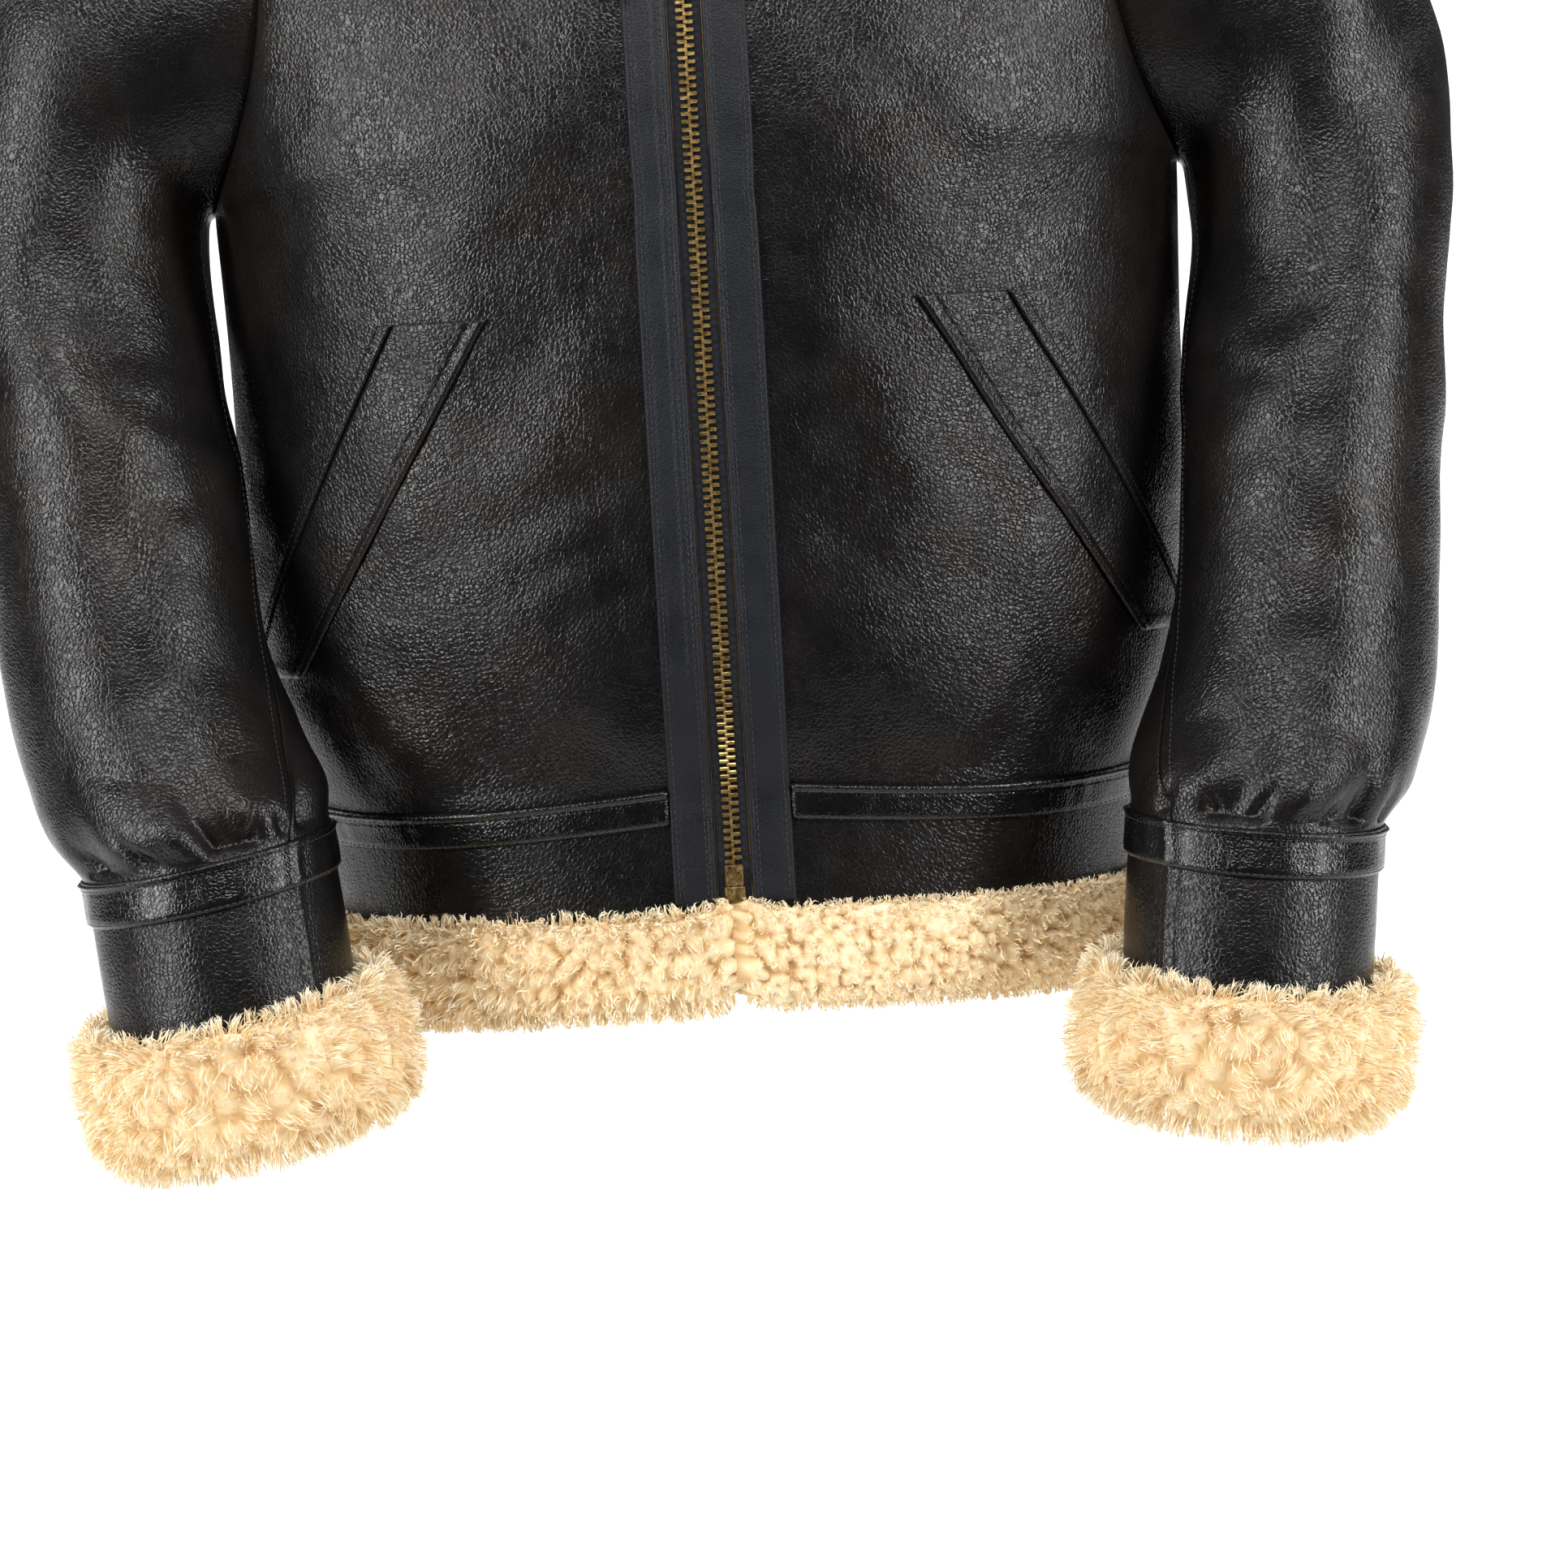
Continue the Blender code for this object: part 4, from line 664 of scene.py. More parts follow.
def front_columns(places, inner, outer, count):
    """Turns of a front row's columns: from an inner x, through an outer x, evenly to the side."""
    centre = body_ends(FRONT, places)[0][:, 0]
    first = turn_at(FRONT, places, np.maximum(centre, inner))
    second = turn_at(FRONT, places, centre + outer)
    near = first[:, None] + (second - first)[:, None] * np.linspace(0, 1, 7)[None, :-1]
    far = second[:, None] + (90.0 - second)[:, None] * np.linspace(0, 1, count)[None, :]
    return np.concatenate([near, far], axis=1)


def front_away(points):
    """Rough outward directions of body points."""
    away = points.copy()
    away[..., 2] = 0.05
    return away


def both_faces(grid_of, thickness, **edges):
    """Outer and inner grids of a wall."""
    return drawn_in(grid_of(0.0), **edges), drawn_in(grid_of(thickness), **edges)


def make_fronts():
    """Front panels and the leather hem bands below them."""
    low = np.linspace(STRAP_SEAM, UNDERARM, 86)
    panel = np.concatenate([low, np.linspace(UNDERARM + 0.07, SHOULDER, 49)])
    band = np.linspace(HEM_EDGE, STRAP_SEAM, 19)
    for side, word in WORDS.items():
        for name, places in (("front_", panel), ("hem_band_", band)):
            turns = front_columns(places, PLACKET_INNER, PLACKET_OUTER, 59)
            outer, inner = both_faces(lambda d: body_grid(side, FRONT, places, turns, d), WALL,
                                      first_column=False)
            shell(name + word, outer, inner, leather, wool_side)


def back_rows(places, depth, count):
    """Back rows from the left side to the right."""
    turns = np.linspace(90, 0, count)
    left = body_grid(LEFT, BACK, places, turns, depth)
    right = body_grid(RIGHT, BACK, places, turns[::-1], depth)
    return np.concatenate([left[:, :-1], right], axis=1)


def make_back():
    """Back panel with a wing to each shoulder seam, and its hem band."""
    count = 70
    band = np.linspace(HEM_EDGE, STRAP_SEAM, 21)
    outer, inner = both_faces(lambda d: back_rows(band, d, count), WALL)
    shell("hem_band_back", outer, inner, leather, wool_side)
    low = np.linspace(STRAP_SEAM, UNDERARM, 90)
    places = np.concatenate([low, np.linspace(UNDERARM + 0.08, BACK_NECK, 44)])
    wing_places = np.linspace(BACK_NECK, SHOULDER, 24)
    turns = np.linspace(0, 90, count)
    layers = []
    for depth in (0.0, WALL):
        grid = drawn_in(back_rows(places, depth, count), last_row=False)
        right = body_grid(RIGHT, BACK, wing_places, turns, depth)
        left = body_grid(LEFT, BACK, wing_places, turns[::-1], depth)
        layers.append((grid, drawn_in(left, first_row=False, last_column=False),
                       drawn_in(right, first_row=False, first_column=False)))
    vertices = []
    faces = []
    indices = []
    outlines = []
    base = 0
    middle = count - 1
    for layer, (grid, left, right) in enumerate(layers):
        vertices.append(grid.reshape(-1, 3))
        index = base + np.arange(grid[..., 0].size).reshape(grid.shape[:2])
        base += index.size
        wings = []
        for block, join in ((left, index[-1, :middle + 1]), (right, index[-1, middle:])):
            vertices.append(block[1:].reshape(-1, 3))
            wing = base + np.arange(block[1:, :, 0].size).reshape(len(block) - 1, -1)
            base += wing.size
            wings.append(np.concatenate([join[None, :], wing]))
        for block in [index] + wings:
            corners = (block[:-1, :-1], block[:-1, 1:], block[1:, 1:], block[1:, :-1])
            quads = np.stack(corners, -1).reshape(-1, 4)
            faces.extend(map(tuple, (quads[:, ::-1] if layer == 0 else quads).tolist()))
            indices.extend([layer] * len(quads))
        left_index, right_index = wings
        ring = list(index[0]) + list(index[1:, -1]) + list(right_index[1:, -1])
        ring += list(right_index[-1, -2::-1]) + list(right_index[-2:0:-1, 0])
        ring += [index[-1, middle]] + list(left_index[1:, -1])
        ring += list(left_index[-1, -2::-1]) + list(left_index[-2:0:-1, 0]) + list(index[:0:-1, 0])
        outlines.append([int(v) for v in ring])
    near, far = outlines
    for i in range(len(near)):
        k = (i + 1) % len(near)
        faces.append((near[i], near[k], far[k], far[i]))
        indices.append(0)
    made = new_object("back_looks", np.concatenate(vertices).tolist(), faces, [leather, wool_side], indices)
    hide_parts("back")


def make_sleeves():
    """Top sleeves and under-sleeves; their seams follow the twist."""
    places = np.concatenate([np.linspace(0, 7, 78), np.linspace(7.06, CUFF_SEAM, 57)])
    spans = (("sleeve_top_", np.linspace(BACK_SEAM - 360.0, FRONT_SEAM, 131)),
             ("sleeve_under_", np.linspace(FRONT_SEAM, BACK_SEAM, 41)))
    for side, word in WORDS.items():
        for name, angles in spans:
            outer, inner = both_faces(lambda d: sleeve_grid(side, places, angles, d), WALL, first_row=False)
            shell(name + word, outer, inner, leather, wool_side)
            if name == "sleeve_top_":
                normal = normals(outer, outer - outer.mean(axis=1, keepdims=True))
                stitch(outer, normal, np.s_[2:-14, 3], np.s_[2:-14, -4])


def pillow(shape, across_rows, edge):
    """Heights of a strip with rounded edges, across its rows or its columns."""
    share = np.linspace(0, 1, shape[0] if across_rows else shape[1])
    distance = np.minimum(share, 1 - share)
    height = np.sqrt(np.clip(1 - (1 - np.clip(distance / edge, 0, 1)) ** 2, 0, 1))
    heights = np.broadcast_to(height[:, None] if across_rows else height[None, :], shape[:2])
    return heights[..., None]


def strip(node, points, away, low, thick, ridge, face, across_rows=True, closed=False, edge=0.08):
    """Strip laid on a surface: flat under, rounded at its long edges, with a ridge's heights on top."""
    normal = normals(points, away)
    if closed:
        turned = normals(np.roll(points, 5, axis=1), np.roll(away, 5, axis=1))
        normal[:, 0] = turned[:, 5]
        normal[:, -1] = turned[:, 4]
    height = (STRIP_RIM + (1 - STRIP_RIM) * pillow(points.shape, across_rows, edge)) * thick + ridge
    outer = points + normal * (low + height)
    shell(node, outer, points + normal * low, face, face, closed)
    return outer, normal


def strap_ridge(rows, columns, falling, seed):
    """Piping-like fold along a strap's top edge, and slight puckers along the strap."""
    share = np.linspace(0, 1, rows)[:, None]
    along = np.linspace(0, 1, columns)[None, :]
    pucker = np.sin(along * columns * 0.55 + seed + 2.0 * np.sin(along * 31 + seed)) * np.sin(share * np.pi)
    return (relief(1 - share if falling else share, STRAP_BEADS) + STRAP_PUCKER * pucker)[..., None]


def make_hem_straps():
    """Glossy strap over the hem band's seam."""
    rows = 19
    places = np.linspace(STRAP_LOW, STRAP_HIGH, rows)
    first = turn_at(FRONT, places, body_ends(FRONT, places)[0][:, 0] + PLACKET_OUTER + SEAM_GAP)
    turns = first[:, None] + (89.9 - first)[:, None] * np.linspace(0, 1, 121)[None, :]
    grids = [("hem_strap_" + word, body_grid(side, FRONT, places, turns, 0.0, creased=False), side * 2.0)
             for side, word in WORDS.items()]
    back = drawn_in(back_rows(places, 0.0, 110), gap=SEAM_GAP, first_row=False, last_row=False)
    for node, points, seed in grids + [("hem_strap_back", back, 5.0)]:
        ridge = strap_ridge(rows, points.shape[1], False, seed)
        face, normal = strip(node, points, front_away(points), SEAM_GAP, STRAP, ridge, nappa)
        stitch(face, normal, np.s_[1, 1:-1], np.s_[-4, 1:-1])


def make_cuffs():
    """Leather cuff bands and the glossy straps round the sleeves above them."""
    angles = np.arange(0, 360, 2.0)
    lapped = relief(angles - FRONT_SEAM, SEAM_BEADS)[None, :, None]
    seam = int(FRONT_SEAM / 2)
    for side, word in WORDS.items():
        places = np.linspace(CUFF_SEAM, CUFF_EDGE, 21)
        outer, inner = both_faces(lambda d: sleeve_grid(side, places, angles, d, False), WALL,
                                  first_column=False, last_column=False)
        normal = unit(outer - outer.mean(axis=1, keepdims=True))
        outer = outer + normal * lapped
        stitch(outer, normal, np.s_[8:-1, seam - 2], np.s_[8:-1, seam + 3])
        shell("cuff_" + word, outer, inner, leather, wool_side, closed=True)
        rows = 17
        places = np.linspace(CUFF_STRAP_TOP + 0.04, CUFF_STRAP_END, rows)
        points = sleeve_grid(side, places, angles, 0.0, False)
        ridge = strap_ridge(rows, len(angles), True, side * 3.0) + lapped
        face, normal = strip("cuff_strap_" + word, points, points - points.mean(axis=1, keepdims=True),
                             SEAM_GAP, STRAP, ridge, nappa, closed=True)
        around = np.append(np.arange(len(angles)), 0)
        stitch(face, normal, np.s_[3, around], np.s_[-2, around])


def centre_line(places):
    """Centre front points and their outward directions."""
    along = body_ends(FRONT, np.asarray(places) + 0.05)[0] - body_ends(FRONT, np.asarray(places) - 0.05)[0]
    out = unit(np.stack([np.zeros(len(along)), -along[:, 2], along[:, 1]], -1))
    return body_ends(FRONT, places)[0], out


def make_plackets():
    """Leather strips beside the zip with their folded edges, and the zip's tapes."""
    places = np.concatenate([np.linspace(PLACKET_FOOT, UNDERARM, 170), np.linspace(8.05, NECK_FRONT, 61)])
    centre = body_ends(FRONT, places)[0][:, 0]
    first = turn_at(FRONT, places, np.maximum(centre, PLACKET_INNER))
    second = turn_at(FRONT, places, centre + PLACKET_OUTER)
    share = np.linspace(0, 1, 21)[None, :]
    along = np.linspace(0, 1, len(places))[:, None]
    middle, out = centre_line(places)
    for side, word in WORDS.items():
        turns = first[:, None] + (second - first)[:, None] * share
        points = body_grid(side, FRONT, places, turns, 0.0, creased=False)
        wave = np.sin(along * 60 + side + 3 * np.sin(along * 17)) * np.sin(share * np.pi)
        ridge = relief(share, PLACKET_BEADS) + PLACKET_WAVE * wave
        if side == LEFT:
            ridge = ridge + relief(share, [PLACKET_DOUBLED]) * blend(0.30, 0.10, along)
        face, normal = strip("placket_" + word, points, front_away(points), SEAM_GAP, TRIM, ridge[..., None],
                             placket, across_rows=False, edge=0.07)
        stitch(face, normal, np.s_[1:-1, 4], np.s_[1:-1, -4])
        xs = np.linspace(SEAM_GAP, TAPE_HALF, 5) * side
        flat = middle[:, None, :] + np.stack([xs, 0 * xs, 0 * xs], -1)[None]
        outer = flat - out[:, None, :] * TAPE_BEHIND
        shell("zip_tape_" + word, outer, outer - out[:, None, :] * TAPE, tape, tape)


def places_at_heights(heights):
    """Places of the centre line's points at given heights."""
    places = np.linspace(HEM_EDGE, NECK_FRONT, 2000)
    levels = body_ends(FRONT, places)[0][:, 2]
    return np.interp(heights, levels, places)


def pocket_grid(side, rows, across):
    """Body points under a pocket strip: rows down its front edge, columns across it in metres."""
    along = np.linspace(0, 1, rows)
    x = POCKET_TOP[0] + (POCKET_END[0] - POCKET_TOP[0]) * along
    z = POCKET_TOP[1] + (POCKET_END[1] - POCKET_TOP[1]) * along
    places = places_at_heights(z)
    turn = turn_at(FRONT, places, x)
    centre, end, _ = body_ends(FRONT, places)
    step = np.radians(turn)
    pace = np.hypot(end[:, 0] * np.cos(step), centre[:, 1] * np.sin(step))
    turns = np.minimum(turn[:, None] + np.degrees(across[None, :] / pace[:, None]), 89.0)
    return body_grid(side, FRONT, places, turns, 0.0, creased=False)


def make_pockets():
    """Slanted pocket welts with stitched edges, and the strips along their rear edges."""
    rows = 91
    down = np.linspace(0, 1, rows)[:, None]
    welt = np.linspace(0, WELT_ACROSS, 35)
    rear = np.linspace(WELT_ACROSS + SEAM_GAP * 2, WELT_ACROSS + STRIP_ACROSS, 11)
    share = np.linspace(0, 1, len(welt))[None, :]
    end = relief(down, [WELT_END]) * blend(0.03, 0.1, share)
    for side, word in WORDS.items():
        wave = np.sin(down * 21 + side + 4 * share) * np.sin(share * np.pi)
        ridge = relief(share, WELT_BEADS) + end + WELT_WAVE * wave
        cuts = {
            "pocket_welt_": (np.s_[2:-2, 5], np.s_[-4, 3:-1], np.s_[3, 3:-1]),
            "pocket_strip_": (np.s_[2:-2, 2], np.s_[2:-2, -3]),
        }
        for name, across, edge, raised in (("pocket_welt_", welt, 0.05, ridge[..., None]),
                                           ("pocket_strip_", rear, 0.2, 0.0)):
            points = pocket_grid(side, rows, across)
            face, normal = strip(name + word, points, front_away(points), WELT_LIFT, TRIM, raised,
                                 leather, across_rows=False, edge=edge)
            stitch(face, normal, *cuts[name])


def collar_grid(stops, depth, steps):
    """Collar rows from the left front round the back to the right front, finely along the section."""
    rows = []
    for side, order in ((LEFT, stops), (RIGHT, stops[::-1][1:])):
        for stop in order:
            place = np.array([stop])
            stand, fall_out, fall_down = (float(column(COLLAR_ROWS, key, place)[0])
                                          for key in ("stand", "fall_out", "fall_down"))
            facing = math.radians(float(column(COLLAR_ROWS, "facing", place)[0]))
            out = np.array([math.cos(facing), math.sin(facing), 0.0])
            low = stand - fall_down
            face = np.array([
                (0.0, 0.0), (0.0, stand * 0.5), (0.006, stand * 0.92), (fall_out * 0.40, stand + 0.009),
                (fall_out * 0.72, stand * 0.80), (fall_out * 0.93, stand * 0.35 + low * 0.65),
                (fall_out, low),
            ])
            run = np.concatenate([face[1:2] - face[:1], face[2:] - face[:-2], face[-1:] - face[-2:-1]])
            path = face + unit(np.stack([run[:, 1], -run[:, 0]], -1)) * depth
            share = np.linspace(0, len(face) - 1, steps)
            path = np.stack([np.interp(share, np.arange(len(face)), path[:, k]) for k in (0, 1)], -1)
            if stop <= SHOULDER_STOP:
                start = body_ends(FRONT, np.array([NECK_FRONT + stop]))[0][0]
            else:
                start = body_ends(BACK, np.array([NECK_FRONT + 2 * SHOULDER_STOP - stop]))[0][0]
            base = start - out * COLLAR_DEPTH + np.array([0.0, 0.0, COLLAR_SEAT])
            line = base + out * path[:, :1] + np.array([0.0, 0.0, 1.0]) * path[:, 1:]
            rows.append(line * np.array([side, 1.0, 1.0]))
    return np.array(rows)


def make_collar_hide():
    """Leather side of the collar, inside its fold."""
    stops = np.linspace(FIRST_STOP, LAST_STOP, 46)
    near = collar_grid(stops, COLLAR_WOOL + COLLAR_GAP, 31)
    far = collar_grid(stops, COLLAR_DEPTH, 31)
    shell("collar", near, far, leather, leather)


def closed_spline(points, count):
    """Smooth closed curve through points, sampled evenly in their order."""
    points = np.asarray(points, dtype=float)
    padded = np.concatenate([points[-2:], points, points[:3]])
    places = np.linspace(0, len(points), count, endpoint=False) + 2
    return spline_rows(padded, places)


def cuff_wool_rings(side, count, along):
    """Sections of the cuff's wool round the arm: one row for each angle."""
    angles = np.linspace(0, 360, along, endpoint=False)
    edge = sleeve_grid(side, [CUFF_EDGE], angles, 0.0, False)[0]
    middle = ring_centres(side)[12] * np.array([side, 1.0, 1.0])
    quarter = sleeve_grid(side, [CUFF_EDGE], angles + 90.0, 0.0, False)[0] - middle
    down = unit(np.cross(quarter, edge - middle))
    down = np.where(down[:, 2:] > 0, -down, down)
    out = edge - middle
    out = unit(out - down * np.sum(out * down, axis=1, keepdims=True))
    section = closed_spline(CUFF_FUR, count)
    return edge[:, None] + out[:, None] * section[None, :, :1] - down[:, None] * section[None, :, 1:]


def hem_wool_rings(side, face, turns, count):
    """Sections of the hem's wool round a quarter of the body."""
    edge = body_grid(side, face, [HEM_EDGE], turns, 0.0, False)[0]
    inside = np.clip(turns, 1.0, 89.0)
    near = body_grid(side, face, [HEM_EDGE], inside + 0.4, 0.0, False)[0]
    far = body_grid(side, face, [HEM_EDGE], inside - 0.4, 0.0, False)[0]
    along = unit(near - far)
    out = np.stack([along[:, 1], -along[:, 0], 0 * along[:, 0]], -1)
    away = np.stack([edge[:, 0], edge[:, 1] + face * 1e-4, 0 * edge[:, 0]], -1)
    out = out * np.sign(np.sum(out * away, axis=1, keepdims=True))
    out[turns <= 0.0, 0] = 0.0
    out[turns >= 90.0, 1] = 0.0
    out = unit(out)
    section = closed_spline(HEM_FUR, count)
    up = np.array([0.0, 0.0, 1.0])
    return edge[:, None] + out[:, None] * section[None, :, :1] + up * section[None, :, 1:]


def lumps(points, size, seed):
    """Uneven heights from -1 to 1 in lumps of about one size."""
    k = 2 * math.pi / size
    rng = np.random.default_rng(seed)
    total = np.zeros(points.shape[:-1])
    for _ in range(5):
        direction = unit(rng.normal(size=3)) * k * rng.uniform(0.6, 1.3)
        total += np.sin(points @ direction + rng.uniform(0, 6.28) + 1.3 * np.sin(points @ direction[::-1]))
    return np.clip(total / 2.6, -1, 1)


def grid_sampler(closed, grids):
    """Function that reads grids between their points, at shares round the piece and its section."""
    rows, columns = grids[0].shape[:2]

    def sample(share_u, share_v):
        u = share_u * (rows if closed else rows - 1.001)
        v = share_v * columns
        i, j = np.floor(u).astype(int), np.floor(v).astype(int)
        fu, fv = (u - i)[:, None], (v - j)[:, None]
        i0, j0, j1 = i % rows, j % columns, (j + 1) % columns
        i1 = (i + 1) % rows if closed else np.minimum(i + 1, rows - 1)
        found = []
        for grid in grids:
            low = grid[i0, j0] * (1 - fv) + grid[i0, j1] * fv
            high = grid[i1, j0] * (1 - fv) + grid[i1, j1] * fv
            found.append(low * (1 - fu) + high * fu)
        return found
    return sample


def nearest(sites, points):
    """Distance from each point to its nearest site, and which site that is."""
    tree = KDTree(len(sites))
    for index, site in enumerate(sites):
        tree.insert(site, index)
    tree.balance()
    found = [tree.find(point)[1:] for point in points.reshape(-1, 3)]
    index = np.array([item[0] for item in found]).reshape(points.shape[:-1])
    distance = np.array([item[1] for item in found]).reshape(points.shape[:-1])
    return distance, index


def ring_normals(rings, closed):
    """Outward normals of a grid whose rows are closed sections."""
    wrapped = np.concatenate([rings[:, -3:], rings, rings[:, :3]], axis=1)
    if closed:
        wrapped = np.concatenate([wrapped[-3:], wrapped, wrapped[:3]], axis=0)
    away = wrapped - wrapped[:, 3:-3].mean(axis=1, keepdims=True)
    normal = normals(wrapped, away)[:, 3:-3]
    return normal[3:-3] if closed else normal


def lock_sites(rng, kind, rings, sampler):
    """Middles of the locks, spread over the wool with some scatter, and the ways that they point."""
    section_length = np.linalg.norm(np.diff(rings[0], axis=0), axis=-1).sum()
    ring_length = np.linalg.norm(np.diff(rings[:, 0], axis=0), axis=-1).sum()
    across_u = max(int(ring_length / kind.lock), 2)
    across_v = max(int(section_length / kind.lock), 2)
    lock_u, lock_v = (g.reshape(-1) for g in np.meshgrid(np.arange(across_u), np.arange(across_v)))
    lock_u = (lock_u + rng.uniform(0.1, 0.9, lock_u.shape)) / across_u
    lock_v = (lock_v + rng.uniform(0.1, 0.9, lock_v.shape)) / across_v
    sites, out = sampler(lock_u, lock_v)
    return sites, unit(out)


def wool_core(rng, kind, rings, normal, sites):
    """Core of rounded locks inside the solid's form, and its colour values: painted shade, darker in the
    creases between the locks, with a little random variation.
    """
    distance, index = nearest(sites, rings)
    height = np.sqrt(np.clip(1 - (distance / (kind.lock * LOCK_ROUND)) ** 2, 0, 1))
    rise = rng.uniform(-LOCK_RISE, LOCK_RISE, len(sites))[index]
    thickness = np.linalg.norm(rings - rings.mean(axis=1, keepdims=True), axis=-1)
    depth = kind.core + kind.crease * (1 - height) + rise * height
    core = rings - normal * np.minimum(depth, thickness * 0.7)[..., None]
    # Painted shade: the wool is darker in the creases between the locks, where the lock's height is low; the
    # lumps add random variation.
    shade_and_tone = 0.12 + 0.55 * height ** 1.5 + 0.10 * lumps(rings, 0.05, kind.seed)
    return core, shade_and_tone.reshape(-1)


def core_faces(rows, columns, closed):
    """Faces of a wool core, joined round the piece or closed at its two ends."""
    faces = grid_faces(rows, columns, 0, True, False)
    last = (rows - 1) * columns
    if closed:
        for j in range(columns):
            n = (j + 1) % columns
            faces.append((last + j, last + n, n, j))
    else:
        faces.append(tuple(range(columns))[::-1])
        faces.append(tuple(range(last, rows * columns)))
    return faces


def hair_ribbons(rng, kind, hang, visible, closed, sampler, sites, site_out):
    """Hairs that curl and gather to the tips of their locks: each step's points, and their colour values,
    with painted shade darker at the roots down in the pile and paler to the tips.
    """
    u = rng.uniform(0, 1, kind.hairs)
    v = rng.uniform(*visible, kind.hairs)
    if not closed:
        u = 0.004 + 0.992 * u
    base, out, face_point = sampler(u, v)
    out = unit(out)
    pick = nearest(sites, face_point)[1]
    fall = unit(np.asarray(hang, dtype=float))
    lock_lean = rng.normal(size=(len(sites), 3)) * LOCK_LEAN
    lean = out + fall * kind.fall + lock_lean[pick] + rng.normal(size=base.shape) * HAIR_LEAN
    lean = unit(lean + out * np.maximum(0.35 - np.sum(lean * out, axis=1, keepdims=True), 0.0))
    length = kind.length * rng.uniform(0.75, 1.2, kind.hairs)
    tips = base + lean * length[:, None]
    lock_tip = sites + unit(site_out + fall * kind.fall + lock_lean) * (kind.length - kind.core - 0.002)
    gather = kind.gather * rng.uniform(0.4, 1.0, kind.hairs)[:, None]
    tips = tips + (lock_tip[pick] - tips) * gather
    across = unit(np.cross(lean, unit(rng.normal(size=base.shape))))
    other = unit(np.cross(lean, across))
    phase = rng.uniform(0, 6.28, len(sites))[pick] + rng.normal(size=kind.hairs) * 0.6
    turns = rng.uniform(2.5, 5.5, len(sites))[pick]
    width = kind.width * rng.uniform(0.7, 1.3, kind.hairs)
    shade = 0.10 * rng.normal(size=kind.hairs) + 0.08 * lock_lean[pick, 1]
    ribbon = []
    shades_and_tones = []
    for s in np.linspace(0, 1, HAIR_STEPS):
        bow = 4 * s * (1 - s) * HAIR_BOW * length
        angle = phase + turns * s
        point = base + (tips - base) * s + out * bow[:, None]
        point = point + across * (kind.curl * s * np.cos(angle))[:, None]
        point = point + other * (kind.curl * s * np.sin(angle))[:, None]
        half = (width * math.sqrt(1 - s * s * 0.7) / 2)[:, None]
        points = [point - across * half, point + across * half] if s < 1 else [point]
        ribbon += points
        # Painted shade: each hair is darker at its root, down in the pile, and paler to its tip; the random
        # part varies from hair to hair.
        shades_and_tones += [0.38 + 0.62 * s + shade] * len(points)
    return ribbon, shades_and_tones


def wool_piece(node, rings, closed, kind, hang, visible):
    """Wool: a core of rounded locks inside the solid's form, and hairs from it to the solid's faces.

    rings is a grid of points, one row for each section; visible is the range of section shares
    that hairs grow on, and hang the direction that they fall in.
    """
    rng = np.random.default_rng(kind.seed)
    rows, columns = rings.shape[:2]
    normal = ring_normals(rings, closed)
    sites, site_out = lock_sites(rng, kind, rings, grid_sampler(closed, (rings, normal)))
    core, shade_and_tone = wool_core(rng, kind, rings, normal, sites)
    sampler = grid_sampler(closed, (core, normal, rings))
    ribbon, hair_shades_and_tones = hair_ribbons(rng, kind, hang, visible, closed, sampler, sites, site_out)
    faces = core_faces(rows, columns, closed)
    order = rows * columns + np.arange(kind.hairs)
    for k in range(HAIR_STEPS - 1):
        ahead = [2 * k + 3, 2 * k + 2] if k < HAIR_STEPS - 2 else [2 * k + 2]
        corners = [2 * k, 2 * k + 1] + ahead
        faces.extend(zip(*[(c * kind.hairs + order).tolist() for c in corners]))
    low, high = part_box(node)
    vertices = np.concatenate([core.reshape(-1, 3)] + ribbon)
    vertices = np.clip(vertices, np.array(low) - FUR_REACH, np.array(high) + FUR_REACH)
    made = new_object(node + "_looks", vertices.tolist(), faces, [wool], None)
    # The per-vertex values carry painted shade of the pile, darker deep down and between the locks, as well
    # as random variation.
    layer = made.data.attributes.new("shade_and_tone", "FLOAT", "POINT")
    layer.data.foreach_set("value", np.clip(np.concatenate([shade_and_tone] + hair_shades_and_tones), 0, 1.2).astype(np.float32))
    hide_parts(node)


